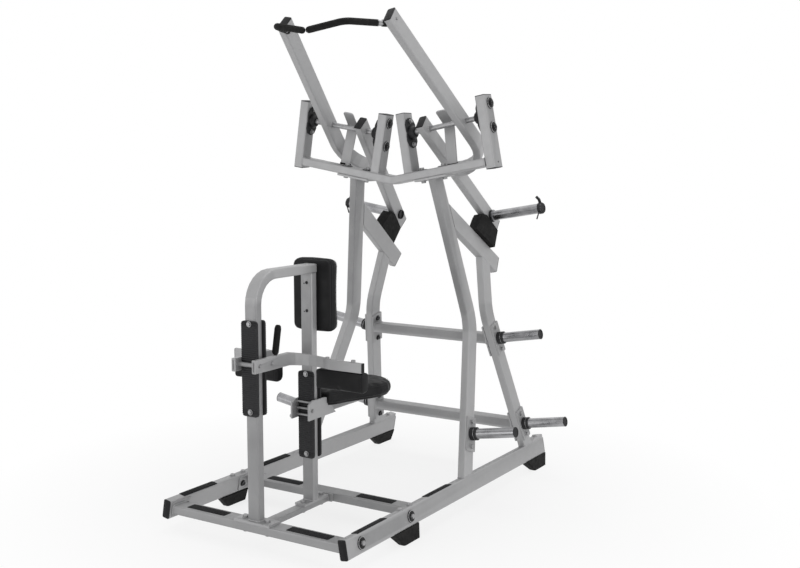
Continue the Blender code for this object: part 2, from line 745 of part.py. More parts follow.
def leg_tube(side, points, first, last):
    out = side_axes(side)[0]
    path = bent_path([side_point(side, 0, *p) for p in points], [LEG_BEND])
    return box_tube(LEG_WIDE, LEG_DEEP, stations_along(path, out), first, last)


for side, label in SIDES:
    out, back, up = side_axes(side)
    rail_top = (side_point(side, 0, 0, RAIL_HIGH / 2 + GAP), up)
    weld = (side_point(side, 0, 0, FRONT_LEG_TOP[1] + SINK), up)
    flange = slab(crown_point(side, 0, CROWN_Y, FRONT_LEG_TOP[1]), up, crown_axes(side)[0],
                  2 * CROWN_FLANGE_S, CROWN_BEAM[0], FLANGE_THICK)
    bodies = [leg_tube(side, (FRONT_LEG_FOOT, FRONT_LEG_KNEE, FRONT_LEG_TOP), rail_top, weld), flange]
    for s in (-CROWN_FLANGE_BOLT, CROWN_FLANGE_BOLT):
        bodies.append(bolt(crown_point(side, s, CROWN_Y, FRONT_LEG_TOP[1]), -up, HEX_FLAT, NUT_HIGH))
    make(label + "_front_leg", bodies, "silver")

    below_gusset = gusset_plane(side, GUSSET_HIGH + GAP)
    tube = leg_tube(side, (REAR_LEG_FOOT, REAR_LEG_KNEE, rear_leg_top()), rail_top, below_gusset)
    make(label + "_rear_leg", [tube], "silver")

    upper_aim = unit(np.subtract(FRONT_LEG_TOP, FRONT_LEG_KNEE))
    normal = back * upper_aim[1] - up * upper_aim[0]
    leg_back = side_point(side, 0, *FRONT_LEG_TOP) + normal * (LEG_DEEP / 2 + GAP)
    start = np.array(GUSSET_EDGE) - GUSSET_UP * GUSSET_HIGH / 2
    end = np.array(GUSSET_TIP) - GUSSET_UP * GUSSET_HIGH / 2
    stations = straight(side_point(side, 0, *start), side_point(side, 0, *end), out)
    make(label + "_gusset_arm", [box_tube(LEG_WIDE, GUSSET_HIGH, stations, (leg_back, normal))], "silver")


# crossbars between the rear legs, and the storage horns on the outer faces of the legs
def crossbar(name, h):
    y, h = on_leg(REAR_LEG_FOOT, REAR_AIM, h)
    z = side_point(1, 0, y, h)[2]
    plate_s = -LEG_WIDE / 2 - GAP - PLATE_THICK
    bodies = [between_sides(y, z, BAR_DEEP, BAR_HIGH, plate_s + SINK)]
    for side, label in SIDES:
        bodies.append(side_plate(side, plate_s, y, h, *BAR_PLATE, REAR_AIM, hole=BAR_PLATE_HOLE))
        for way in (-1, 1):
            shift = REAR_AIM * way * PLATE_BOLT
            where = side_point(side, plate_s, y + shift[0], h + shift[1])
            bodies.append(bolt(where, -side_axes(side)[0], HEX_FLAT, NUT_HIGH))
    make(name, bodies, "silver")


def storage_horn(name, side, foot, aim, h):
    """A plate against the leg with a plain tube welded to it and a short collar at the root."""
    out = side_axes(side)[0]
    y, h = on_leg(foot, aim, h)
    face = LEG_WIDE / 2 + GAP
    bodies = [side_plate(side, face, y, h, *HORN_PLATE, aim)]
    root = side_point(side, face + PLATE_THICK - SINK, y, h)
    bodies.append(ring(root, side_point(side, HORN_END, y, h), HORN_RADIUS, HORN_RADIUS - HORN_WALL))
    bodies.append(ring(root, root + out * HORN_ROOT, HORN_ROOT_RADIUS, HORN_RADIUS - SINK))
    for way in (-1, 1):
        shift = aim * way * PLATE_BOLT
        bodies.append(bolt(side_point(side, face + PLATE_THICK, y + shift[0], h + shift[1]), out))
    make(name, bodies, "chrome")


crossbar("upper_crossbar", UPPER_BAR_H)
crossbar("lower_crossbar", LOWER_BAR_H)
for side, label in SIDES:
    storage_horn(label + "_upper_storage_horn", side, REAR_LEG_FOOT, REAR_AIM, UPPER_BAR_H)
    storage_horn(label + "_lower_storage_horn", side, REAR_LEG_FOOT, REAR_AIM, LOWER_BAR_H)
    storage_horn(label + "_front_storage_horn", side, FRONT_LEG_FOOT, FRONT_AIM, LOW_FRONT_HORN_H)


# crown: two toed-in half beams mitred at the middle, with the four bearing uprights
def crown_beam():
    out, back, up = crown_axes(1)
    end = crown_point(1, OUTBOARD_S - UPRIGHT_WIDE / 2 + SINK, CROWN_Y, CROWN_BEAM_H + CROWN_BEAM[1] / 2)
    shells = []
    for outline in (rounded(*CROWN_BEAM, CORNER),
                    rectangle(CROWN_BEAM[0] - 2 * WALL, CROWN_BEAM[1] - 2 * WALL)):
        right = placed(outline, (end, back, up))
        mitre = sheared(right, out, (np.zeros(3), X_AXIS))
        left = [p * np.array([-1, 1, 1]) for p in right]
        shells.append([right, mitre, left])
    return loft(*shells)


def crown_half(side):
    out, back, up = crown_axes(side)
    bodies = []
    holes = []
    for s in (-CROWN_FLANGE_BOLT, CROWN_FLANGE_BOLT):
        top = crown_point(side, s, CROWN_Y, CROWN_BEAM_TOP)
        bodies.append(disc(top, up))
        bodies.append(bolt(top + up * DISC_THICK, up))
        low = crown_point(side, s, CROWN_Y, CROWN_BEAM_H)
        holes.append(rod(low - up * 2 * SINK, low + up * 2 * WALL, CROWN_HOLE))
    inboard = (INBOARD_S, CROWN_BEAM_TOP - SINK, INBOARD_TOP, 0.0, 1)
    outboard = (OUTBOARD_S, *OUTBOARD_H, OUTBOARD_TILT, -1)
    for s, low, high, tilt, way in (inboard, outboard):
        ends = [crown_point(side, s, CROWN_Y - (h - CROWN_BEAM_TOP) * tan(tilt), h) for h in (low, high)]
        bodies.append(box_tube(UPRIGHT_WIDE, UPRIGHT_DEEP, straight(*ends, out)))
        for h in (SHAFT_H - BEARING_BOLT, SHAFT_H + BEARING_BOLT):
            far = crown_point(side, s - way * UPRIGHT_WIDE / 2, CROWN_Y, h)
            bodies.append(disc(far, -way * out))
            bodies.append(bolt(far - way * out * DISC_THICK, -way * out))
    return bodies, holes


right_half, right_holes = crown_half(1)
left_half, left_holes = crown_half(-1)
make("crown_frame", [crown_beam()] + right_half + left_half, "silver", cut=right_holes + left_holes)


def flange_bearing(name, side, s, way):
    """An oval two-bolt housing whose round boss faces the swinging arms."""
    out, back, up = crown_axes(side)
    aim = way * out
    start = crown_point(side, s + way * (UPRIGHT_WIDE / 2 + GAP), CROWN_Y, SHAFT_H)
    flange = start + aim * BEARING_FLANGE
    shoulder = start + aim * BEARING_SHOULDER
    end = start + aim * BEARING_THICK
    base = oval(BEARING_LONG, BEARING_WIDE, BEARING_POINTS)
    boss = circle(BEARING_WIDE, BEARING_POINTS)
    nose = circle(BEARING_NOSE, BEARING_POINTS)
    bore = circle(SHAFT_RADIUS + GAP, BEARING_POINTS)
    outer = [placed(base, (start, back, up)), placed(base, (flange, back, up)),
             placed(boss, (flange + aim * SINK, back, up)), placed(boss, (shoulder, back, up)),
             placed(nose, (end, back, up))]
    bodies = [loft(outer, [placed(bore, (start, back, up)), placed(bore, (end, back, up))])]
    for h in (-BEARING_BOLT, BEARING_BOLT):
        bodies.append(bolt(flange + up * h, aim, MIDDLE_HEX_FLAT, NUT_HIGH))
    make(name, bodies, "plastic")


def stop_bracket(side):
    """A bent plate that stands on the crown beam behind the shaft and leans over it, with round corners."""
    out, back, up = crown_axes(side)
    path = bent_path([crown_point(side, BRACKET_S, *p) for p in BRACKET_PATH], [BRACKET_BEND], 6)
    stations = stations_along(path, out)
    outline = rounded(BRACKET_WIDE, BRACKET_THICK, THIN_CORNER)
    loops = [placed(outline, station) for station in stations[:-1]]
    beam_top = (crown_point(side, 0, CROWN_Y, CROWN_BEAM_TOP + GAP), up)
    loops[0] = sheared(loops[0], path[0][1], beam_top)
    tip, aim = path[-1]
    for step in range(ARC + 1):
        angle = pi / 2 * step / ARC
        outline = rounded(BRACKET_WIDE - 2 * BRACKET_CORNER * (1 - cos(angle)), BRACKET_THICK, THIN_CORNER)
        loops.append(placed(outline, (tip - aim * BRACKET_CORNER * (1 - sin(angle)), *stations[-1][1:])))
    return loft(loops)


def arm_bumper(side):
    """A rubber block on the gusset arm that carries the weight arm at rest."""
    up = side_axes(side)[2]
    along = np.array(WEIGHT_ARM_TILT)
    below = np.array([WEIGHT_ARM_TILT[1], -WEIGHT_ARM_TILT[0]])
    touch = [(t, WEIGHT_ARM[1] / 2 + GAP) for t in BUMPER_TOUCH]
    profile = []
    for t, drop in (BUMPER_FOOT[0], *touch, *BUMPER_SHOULDER, BUMPER_FOOT[1]):
        profile.append(np.array([CROWN_Y, SHAFT_H]) + along * t + below * drop)
    loops = []
    for s in (-BUMPER_HALF, BUMPER_HALF):
        loop = [crown_point(side, s, *p) for p in profile]
        loop[0], loop[-1] = sheared([loop[0], loop[-1]], up, gusset_plane(side, -GAP))
        loops.append(loop)
    return loft(loops)


for side, label in SIDES:
    flange_bearing(label + "_inboard_bearing", side, INBOARD_S, 1)
    flange_bearing(label + "_outboard_bearing", side, OUTBOARD_S, -1)
    make(label + "_stop_bracket", [stop_bracket(side)], "silver")
    make(label + "_arm_bumper", [arm_bumper(side)], "rubber", 0)


# swinging arms: all the pieces turn about the pivot shaft
def lock_collar(name, side):
    """A clamp ring on the horn with a bent lever and a short peg."""
    out, back, up = crown_axes(side)
    low = crown_point(side, LOCK_S[0], *WEIGHT_HORN)
    high = crown_point(side, LOCK_S[1], *WEIGHT_HORN)
    middle = (low + high) / 2
    reach = [(LOCK_RADIUS - 2 * SINK, 0.0), *LOCK_LEVER]
    path = bent_path([middle + up * rise + out * shift for rise, shift in reach], [LOCK_BEND], 4)
    lever = sweep(rounded(*LOCK_LEVER_SIZE, THIN_CORNER), stations_along(path, back))
    peg_root = middle + back * LOCK_PEG_ROOT[0] + up * LOCK_PEG_ROOT[1]
    peg_end = middle + out * LOCK_PEG_END[0] + back * LOCK_PEG_END[1] + up * LOCK_PEG_END[2]
    peg = rod(peg_root, peg_end, LOCK_PEG_RADIUS, BUMP_ROUND)
    make(name, [ring(low, high, LOCK_RADIUS, HORN_RADIUS + GAP), lever, peg], "plastic", pivot=middle)


def grip_tube(path, last):
    """A rubber sleeve along the path, closed with a rounded end."""
    count = BAR_ROUND
    stations = round_stations(path)
    outer = [placed(circle(GRIP_RADIUS, count), s) for s in stations]
    bore = [placed(circle(BAR_RADIUS + GAP, count), s) for s in stations]
    where, u, v = stations[-1]
    for reach, size in GRIP_END:
        outer.append(placed(circle(GRIP_RADIUS * size, count), (where + last * GRIP_RADIUS * reach, u, v)))
    bore[-1] = placed(circle(BAR_RADIUS + GAP, count), (where + last * 2 * GAP, u, v))
    loops = outer + bore[::-1]
    points = [p for loop in loops for p in loop]
    faces = []
    for k in range(len(loops)):
        a, b = k * count, (k + 1) % len(loops) * count
        if k == len(outer) - 1:
            faces.append(tuple(a + i for i in range(count)))
            faces.append(tuple(reversed([b + i for i in range(count)])))
            continue
        for i in range(count):
            j = (i + 1) % count
            faces.append((a + i, a + j, b + j, b + i))
    return facing_out(points, faces)


for side, label in SIDES:
    out, back, up = crown_axes(side)
    pivot = crown_point(side, 0, CROWN_Y, SHAFT_H)
    ends = (INBOARD_S + UPRIGHT_WIDE / 2 + 2 * SINK, OUTBOARD_S - UPRIGHT_WIDE / 2 - 2 * SINK)
    shaft = rod(pivot + out * ends[0], pivot + out * ends[1], SHAFT_RADIUS, BEARING_POINTS)
    make(label + "_pivot_shaft", [shaft], "zinc", pivot=pivot)
    shaft_hole = rod(pivot + out * ends[0], pivot + out * ends[1], SHAFT_RADIUS + GAP, BEARING_POINTS)

    aim = unit(crown_vector(side, *WEIGHT_ARM_TILT))
    middle = pivot + out * WEIGHT_ARM_S
    tube = box_tube(*WEIGHT_ARM, straight(*[middle + aim * t for t in WEIGHT_ARM_ENDS], out))
    make(label + "_weight_arm", [tube], "silver", pivot=pivot, cut=[shaft_hole])

    aim = unit(crown_vector(side, *ARM_TILT))
    lane = pivot + out * HANDLE_ARM_S
    top = lane + aim * HANDLE_ARM_REACH
    corner = lane + aim * (HANDLE_ARM_TURN + HANDLE_ARM_BEND)
    inner = corner - out * (HANDLE_ARM_S - WEIGHT_ARM_S - WEIGHT_ARM[0] / 2 - GAP)
    path = bent_path([top, corner, inner], [HANDLE_ARM_BEND], 7)
    tube = box_tube(HANDLE_ARM[1], HANDLE_ARM[0], stations_along(path, np.cross(out, aim)))
    make(label + "_handle_arm", [tube], "silver", pivot=pivot, cut=[shaft_hole])

    horn_root = crown_point(side, WEIGHT_ARM_S + WEIGHT_ARM[0] / 2 + GAP, *WEIGHT_HORN)
    horn_tip = crown_point(side, WEIGHT_HORN_END, *WEIGHT_HORN)
    horn = ring(horn_root, horn_tip, HORN_RADIUS, HORN_RADIUS - HORN_WALL)
    root_ring = ring(horn_root, horn_root + out * HORN_ROOT / 2, HORN_ROOT_RADIUS, HORN_RADIUS - SINK)
    make(label + "_weight_horn", [horn, root_ring], "chrome", pivot=pivot)
    lock_collar(label + "_lock_collar", side)

    flip = np.array([side, 1, 1])
    root = lane + aim * HANDLE_ROOT[0] - out * (HANDLE_ARM[0] / 2 + GAP)
    root += unit(crown_vector(side, -ARM_TILT[1], ARM_TILT[0])) * HANDLE_ROOT[1]
    bend = pivot + np.array(HANDLE_BEND_POINT) * flip
    inner = pivot + np.array(HANDLE_INNER_POINT) * flip
    first = unit(bend - root)
    last = unit(inner - bend)
    inner = inner - last * GRIP_RADIUS
    path = bent_path([root, bend, inner], [GRIP_BEND])
    bore = circle(BAR_RADIUS - BAR_WALL, BAR_ROUND)
    bar = sweep(circle(BAR_RADIUS, BAR_ROUND), round_stations(path), bore, (root, out))
    grip_start = root + first * (COLLAR_FROM + COLLAR_LONG)
    collar = ring(root + first * COLLAR_FROM, grip_start, GRIP_RADIUS, BAR_RADIUS - SINK, BAR_ROUND)
    make(label + "_pull_handle", [bar, collar], "zinc", pivot=pivot)
    path = bent_path([grip_start + first * GAP, bend, inner], [GRIP_BEND])
    make(label + "_hand_grip", [grip_tube(path, last)], "rubber", pivot=pivot)


# seat
def mirrored(outline):
    """A closed outline from its right hand half, given as (y, half width)."""
    return [(w, y) for y, w in outline] + [(-w, y) for y, w in reversed(outline)]


def inset(outline, amount):
    """Moves each point of an anticlockwise outline inwards by about this amount."""
    pts = [np.array(p, float) for p in outline]
    out = []
    for i, b in enumerate(pts):
        before = unit(b - pts[i - 1])
        after = unit(pts[(i + 1) % len(pts)] - b)
        left = np.array([-before[1], before[0]])
        n = unit(left + np.array([-after[1], after[0]]))
        out.append(tuple(b + n * amount / max(0.5, np.dot(n, left))))
    return out


def pad(outline, board, foam, crown, rises, place):
    """An upholstered pad: a backing board, drawn-in sides and a crowned top.

    board is (thickness, inset), rises holds (height share, draw-in) of the sides and place turns
    (a, b, height) into a point.
    """
    thick, lip = board
    loops = [[place(a, b, h) for a, b in inset(outline, lip)] for h in (0.0, thick)]
    for share, draw in rises:
        loops.append([place(a, b, thick + foam * share) for a, b in inset(outline, draw)])
    last = inset(outline, rises[-1][1])
    middle = np.mean(last, axis=0)
    for share in PAD_CROWN:
        ring_points = [middle + (np.array(p) - middle) * share for p in last]
        high = thick + foam + crown * (1 - share ** 2)
        loops.append([place(a, b, high) for a, b in ring_points])
    return loft(loops)


def seat_relief(low, front):
    """(y, z) outline of the room that the carriage's plates need in the front of the cushion."""
    corner, tail = SEAT_PLATE[-2:]
    reach = corner[0] + (tail[0] - corner[0]) * (corner[1] - low) / (corner[1] - tail[1])
    return [(front, low), (reach + SEAT_CLEAR, low), (corner[0] + SEAT_CLEAR, corner[1] + SEAT_CLEAR),
            (front, corner[1] + 2 * SEAT_CLEAR)]


seat_origin = np.array([0, INNER_Y, SEAT_BARS_Z[1]])
inside = CARRIAGE_X[0] + SINK
bodies = []
for x in (-CARRIAGE_X[1], CARRIAGE_X[0]):
    ends = (x, x + CARRIAGE_X[1] - CARRIAGE_X[0])
    bodies.append(loft([[np.array([end, y, z]) for y, z in SEAT_PLATE] for end in ends]))
bar_y = post_front - 2 * GAP - RATCHET_THICK - SEAT_BAR[0] / 2
for z in SEAT_BARS_Z:
    bodies.append(slab((-inside, bar_y, z), X_AXIS, Y_AXIS, *SEAT_BAR, 2 * inside))
web_y = post_back + 2 * GAP + RATCHET_THICK
web_z = SEAT_TUBE_Z + SEAT_WEB[1] / 2
bodies.append(slab((0, web_y, web_z), Y_AXIS, X_AXIS, 2 * inside, SEAT_WEB[1], SEAT_WEB[0]))
tube_z = SEAT_TUBE_Z + SEAT_TUBE[1] / 2
ends = ((0, web_y + SEAT_WEB[0] - SINK, tube_z), (0, SEAT_TUBE_END, tube_z))
bodies.append(box_tube(*SEAT_TUBE, straight(*ends, X_AXIS)))
for side in (1, -1):
    where = (side * CARRIAGE_X[1], *SEAT_PLATE_BOLT)
    bodies.append(bolt(where, side * X_AXIS, SMALL_HEX_FLAT, SMALL_HEX_HIGH))
bodies.append(bolt((-CARRIAGE_X[1], *SEAT_PIN), -X_AXIS, SMALL_HEX_FLAT, HEX_HIGH))
make("seat_carriage", bodies, "silver", pivot=seat_origin)

seat_low = SEAT_TUBE_Z + SEAT_TUBE[1] + GAP
body = pad(mirrored(SEAT_OUTLINE), (SEAT_BOARD, SEAT_BOARD_IN), SEAT_FOAM, SEAT_CROWN, SEAT_SIDES,
           lambda a, b, h: np.array([a, b, seat_low + h]))
room = seat_relief(seat_low - SEAT_BOARD, SEAT_OUTLINE[0][0] - 2 * SEAT_BOARD)
room_half = 2 * CARRIAGE_X[1]
relief = loft([[np.array([x, y, z]) for y, z in room] for x in (-room_half, room_half)])
make("seat_cushion", [body], "vinyl", 50, pivot=seat_origin, cut=[relief])

# thigh hold-down
thigh_origin = np.array([0, OUTER_Y, THIGH_ROD_Z])


def thigh_arm(side):
    """A flat tube that runs back beside the post, bends outwards and drops a little as it narrows."""
    lane = side * (THIGH_ARM_OUT - THIGH_ARM_THICK / 2)
    path = bent_path([(lane, THIGH_FRONT_Y, 0), (lane, THIGH_Y, 0), (side * THIGH_ARM_END, THIGH_Y, 0)],
                     [THIGH_BEND], 6)
    lengths = np.cumsum([0.0] + [np.linalg.norm(b[0] - a[0]) for a, b in zip(path, path[1:])])
    stations = []
    for (where, aim), length in zip(path, lengths):
        share = np.clip((length - lengths[1]) / (lengths[-2] - lengths[1]), 0.0, 1.0)
        high = THIGH_FRONT_HIGH + (THIGH_END_HIGH - THIGH_FRONT_HIGH) * share
        z = THIGH_FRONT_Z + (THIGH_END_Z - THIGH_FRONT_Z) * share
        stations.append((where + Z_AXIS * z, Z_AXIS * high / THIGH_FRONT_HIGH, np.cross(aim, Z_AXIS)))
    return box_tube(THIGH_FRONT_HIGH, THIGH_ARM_THICK, stations, corner=THIN_CORNER, wall=BEAM_WALL)


bodies = [thigh_arm(1), thigh_arm(-1)]
rod_x = THIGH_ARM_OUT - THIGH_ARM_THICK + SINK
rods_y = (OUTER_Y - POST_DEEP / 2 - 2 * GAP - RATCHET_THICK - THIGH_ROD_RADIUS,
          OUTER_Y + POST_DEEP / 2 + 2 * GAP + RATCHET_THICK + THIGH_ROD_RADIUS)
for y in rods_y:
    bodies.append(rod((-rod_x, y, THIGH_ROD_Z), (rod_x, y, THIGH_ROD_Z), THIGH_ROD_RADIUS))
    for side in (1, -1):
        where = (side * THIGH_ARM_OUT, y, THIGH_ROD_Z)
        bodies.append(bolt(where, side * X_AXIS, SMALL_HEX_FLAT, SMALL_HEX_HIGH))
for x in (*THIGH_BOLT_X, *[-x for x in THIGH_BOLT_X]):
    top = THIGH_END_Z + THIGH_END_HIGH / 2
    bodies.append(bolt((x, THIGH_Y, top), Z_AXIS, SMALL_HEX_FLAT, SMALL_HEX_HIGH))
make("thigh_arms", bodies, "silver", pivot=thigh_origin)

arm_top = THIGH_FRONT_Z + THIGH_FRONT_HIGH / 2
lever_ball = np.array([*THIGH_LEVER_XY, arm_top + GAP + THIGH_LEVER_RADIUS])
lever_top = np.array(THIGH_LEVER_TOP)
lever_long = np.linalg.norm(lever_top - lever_ball)
station = straight(lever_ball, lever_top, X_AXIS)[0]
lever_aim = unit(lever_top - lever_ball)
profile = [(-cos(angle), sin(angle)) for angle in (radians(15), radians(40), radians(65), radians(90))]
profile = [(along * THIGH_LEVER_RADIUS, size) for along, size in profile]
profile += [(lever_long * share, size) for share, size in THIGH_LEVER_END]
loops = []
for along, size in profile:
    outline = circle(THIGH_LEVER_RADIUS * size, BAR_ROUND)
    loops.append(placed(outline, (lever_ball + lever_aim * along, *station[1:])))
make("thigh_lever", [loft(loops)], "rubber", pivot=lever_ball)


def thigh_pad_section():
    """(y, z) outline of a thigh pad: flat front, generous round at the lower back."""
    y0, y1 = THIGH_PAD_Y
    z0, z1 = THIGH_PAD_LOW, THIGH_END_Z - THIGH_END_HIGH / 2 - GAP
    section = []
    corners = ((y1, z1, -1, -1, 0.008, 0.0, 3), (y0, z1, 1, -1, 0.006, 0.5, 3),
               (y0, z0, 1, 1, 0.010, 1.0, 4), (y1, z0, -1, 1, THIGH_PAD_BACK, 1.5, 6))
    for y, z, way_y, way_z, radius, start, count in corners:
        for k in range(count):
            angle = pi * (start + 0.5 * k / (count - 1))
            centre = (y + way_y * radius, z + way_z * radius)
            section.append((centre[0] + radius * cos(angle), centre[1] + radius * sin(angle)))
    return section


section = thigh_pad_section()
middle = np.mean(section, axis=0)
for side, label in SIDES:
    loops = []
    low, high = THIGH_PAD_X
    places = [(low + step, share) for step, share in THIGH_PAD_END]
    places += [(high - step, share) for step, share in reversed(THIGH_PAD_END)]
    for x, share in places:
        loops.append([np.array([side * x, *(middle + (np.array(p) - middle) * share)]) for p in section])
    make(label + "_thigh_pad", [loft(loops)], "vinyl", 50, pivot=thigh_origin)

# chest pad
chest_z = sum(CHEST_Z) / 2
chest_back = post_back + GAP
outline = rounded(2 * CHEST_HALF, CHEST_Z[1] - CHEST_Z[0], CHEST_CORNER, 5)
body = pad(outline, (CHEST_BOARD, CHEST_BOARD_IN), CHEST_FOAM, CHEST_CROWN, CHEST_SIDES,
           lambda a, b, h: np.array([a, chest_back + h, chest_z + b]))
make("chest_pad", [body], "vinyl", 50)
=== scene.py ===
"""Plate-loaded lat pulldown machine: finishes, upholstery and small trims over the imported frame.

Metres: +X right, +Y back, +Z up, z = 0 on the floor. As in the CAD, sizes along y are measured from the
front ends of the floor rails, and every piece is moved forward by ORIGIN_Y.
"""

import json
from math import cos, pi, radians, sin, sqrt

import bmesh
import bpy
import numpy as np
from mathutils import Matrix, Vector


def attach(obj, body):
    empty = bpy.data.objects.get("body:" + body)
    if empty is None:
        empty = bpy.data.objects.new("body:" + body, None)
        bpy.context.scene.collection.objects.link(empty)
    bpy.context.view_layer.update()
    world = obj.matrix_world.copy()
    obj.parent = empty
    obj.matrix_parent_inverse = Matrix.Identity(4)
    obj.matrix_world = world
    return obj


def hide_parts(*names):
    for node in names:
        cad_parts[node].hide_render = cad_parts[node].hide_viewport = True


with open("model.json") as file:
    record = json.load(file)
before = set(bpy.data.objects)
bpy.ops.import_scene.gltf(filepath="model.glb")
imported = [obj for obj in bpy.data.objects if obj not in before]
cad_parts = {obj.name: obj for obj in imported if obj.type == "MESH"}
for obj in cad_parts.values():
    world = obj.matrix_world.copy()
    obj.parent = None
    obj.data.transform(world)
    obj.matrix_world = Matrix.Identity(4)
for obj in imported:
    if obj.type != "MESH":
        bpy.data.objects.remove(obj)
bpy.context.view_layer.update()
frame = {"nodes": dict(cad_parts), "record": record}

SIDES = ((1, "right"), (-1, "left"))
X_AXIS = np.array([1.0, 0.0, 0.0])
Y_AXIS = np.array([0.0, 1.0, 0.0])
Z_AXIS = np.array([0.0, 0.0, 1.0])
ORIGIN_Y = 0.9235


# material helpers
def blank(name, colour, metallic, rough, specular=0.5):
    """A new material with a plain Principled shader."""
    made = bpy.data.materials.new(name)
    made.use_nodes = True
    shader = made.node_tree.nodes["Principled BSDF"]
    shader.inputs["Base Color"].default_value = (*colour, 1.0)
    shader.inputs["Metallic"].default_value = metallic
    shader.inputs["Roughness"].default_value = rough
    shader.inputs["Specular IOR Level"].default_value = specular
    return made, made.node_tree, shader


def texture(tree, kind, scale, stretch=(1.0, 1.0, 1.0)):
    """A texture over the object's own coordinates, which are metres here."""
    place = tree.nodes.new("ShaderNodeTexCoord")
    mapping = tree.nodes.new("ShaderNodeMapping")
    mapping.inputs["Scale"].default_value = stretch
    made = tree.nodes.new(kind)
    made.inputs["Scale"].default_value = scale
    tree.links.new(place.outputs["Object"], mapping.inputs["Vector"])
    tree.links.new(mapping.outputs["Vector"], made.inputs["Vector"])
    return made


def noise(tree, scale, detail=3.0, stretch=(1.0, 1.0, 1.0)):
    """Noise from 0 to 1, for mottling, flake and scuffs."""
    made = texture(tree, "ShaderNodeTexNoise", scale, stretch)
    made.inputs["Detail"].default_value = detail
    return made.outputs["Fac"]


def cells(tree, scale):
    """Distance to the nearest cell centre, for grain and grit."""
    return texture(tree, "ShaderNodeTexVoronoi", scale).outputs["Distance"]


def ramp(tree, source, stops):
    """A colour ramp; stops are (position, colour)."""
    node = tree.nodes.new("ShaderNodeValToRGB")
    points = node.color_ramp.elements
    while len(points) < len(stops):
        points.new(0.5)
    for point, (position, colour) in zip(points, stops):
        point.position = position
        point.color = (*colour, 1.0)
    tree.links.new(source, node.inputs["Fac"])
    return node.outputs["Color"]


def span(tree, source, low, high, from_low=0.3, from_high=0.7):
    """Maps a noise value onto low..high."""
    node = tree.nodes.new("ShaderNodeMapRange")
    node.inputs["From Min"].default_value = from_low
    node.inputs["From Max"].default_value = from_high
    node.inputs["To Min"].default_value = low
    node.inputs["To Max"].default_value = high
    tree.links.new(source, node.inputs["Value"])
    return node.outputs["Result"]


def mixed(tree, factor, first, second, mode="MIX"):
    """Mixes two colours; factor is a number or a socket, first and second are sockets or colours."""
    node = tree.nodes.new("ShaderNodeMix")
    node.data_type = "RGBA"
    node.blend_type = mode
    for socket, value in ((node.inputs[0], factor), (node.inputs[6], first), (node.inputs[7], second)):
        if isinstance(value, bpy.types.NodeSocket):
            tree.links.new(value, socket)
        elif isinstance(value, tuple):
            socket.default_value = (*value, 1.0)
        else:
            socket.default_value = value
    return node.outputs[2]


def bumped(tree, shader, layers):
    """Stacks bump layers of (height socket, strength, distance in metres)."""
    normal = None
    for height, strength, distance in layers:
        node = tree.nodes.new("ShaderNodeBump")
        node.inputs["Strength"].default_value = strength
        node.inputs["Distance"].default_value = distance
        tree.links.new(height, node.inputs["Height"])
        if normal is not None:
            tree.links.new(normal, node.inputs["Normal"])
        normal = node.outputs["Normal"]
    tree.links.new(normal, shader.inputs["Normal"])


def edges(tree, low=0.50, high=0.56):
    """0 on flat faces, rising to 1 on outer edges, where the finishes paint a highlight."""
    geometry = tree.nodes.new("ShaderNodeNewGeometry")
    return span(tree, geometry.outputs["Pointiness"], 0.0, 1.0, low, high)


# finishes
def silver_paint():
    """Silver-grey powder coat: soft mottling, fine metal flake, an orange-peel surface and a painted
    highlight on outer edges.
    """
    made, tree, shader = blank("silver_powder_coat", (0.30, 0.30, 0.305), 0.25, 0.42)
    clouds = ramp(tree, noise(tree, 7.0, 4.0),
                  ((0.30, (0.268, 0.268, 0.272)), (0.70, (0.332, 0.332, 0.336))))
    flake = ramp(tree, noise(tree, 1500.0, 1.0),
                 ((0.35, (0.80, 0.80, 0.80)), (0.68, (1.16, 1.16, 1.17))))
    colour = mixed(tree, 0.55, clouds, flake, "MULTIPLY")
    colour = mixed(tree, span(tree, noise(tree, 260.0, 2.0), 0.0, 0.25), colour, (0.38, 0.38, 0.385))
    # painted highlight: outer edges are mixed towards a lighter grey
    colour = mixed(tree, edges(tree), colour, (0.43, 0.43, 0.435))
    tree.links.new(colour, shader.inputs["Base Color"])
    tree.links.new(span(tree, noise(tree, 35.0, 3.0), 0.36, 0.50), shader.inputs["Roughness"])
    bumped(tree, shader, ((noise(tree, 320.0, 2.0), 0.10, 0.0004),
                          (noise(tree, 1800.0, 1.0), 0.06, 0.0002)))
    return made


def bright_steel(name, stretch):
    """Polished plate horn: bright metal with faint drawn lines along it and light scuffs."""
    made, tree, shader = blank(name, (0.34, 0.34, 0.35), 1.0, 0.3)
    lines = noise(tree, 60.0, 4.0, stretch)
    scuffs = noise(tree, 18.0, 5.0)
    tree.links.new(ramp(tree, scuffs, ((0.35, (0.27, 0.27, 0.28)), (0.65, (0.41, 0.41, 0.42)))),
                   shader.inputs["Base Color"])
    tree.links.new(span(tree, scuffs, 0.22, 0.38), shader.inputs["Roughness"])
    bumped(tree, shader, ((lines, 0.05, 0.0003),))
    return made


def zinc():
    """Bright zinc plate with the patchy sheen of fasteners."""
    made, tree, shader = blank("zinc_plate", (0.34, 0.34, 0.345), 0.9, 0.42)
    patches = noise(tree, 90.0, 4.0)
    tree.links.new(ramp(tree, patches, ((0.3, (0.26, 0.26, 0.26)), (0.7, (0.42, 0.42, 0.43)))),
                   shader.inputs["Base Color"])
    tree.links.new(span(tree, patches, 0.34, 0.52), shader.inputs["Roughness"])
    bumped(tree, shader, ((noise(tree, 700.0, 2.0), 0.08, 0.0002),))
    return made


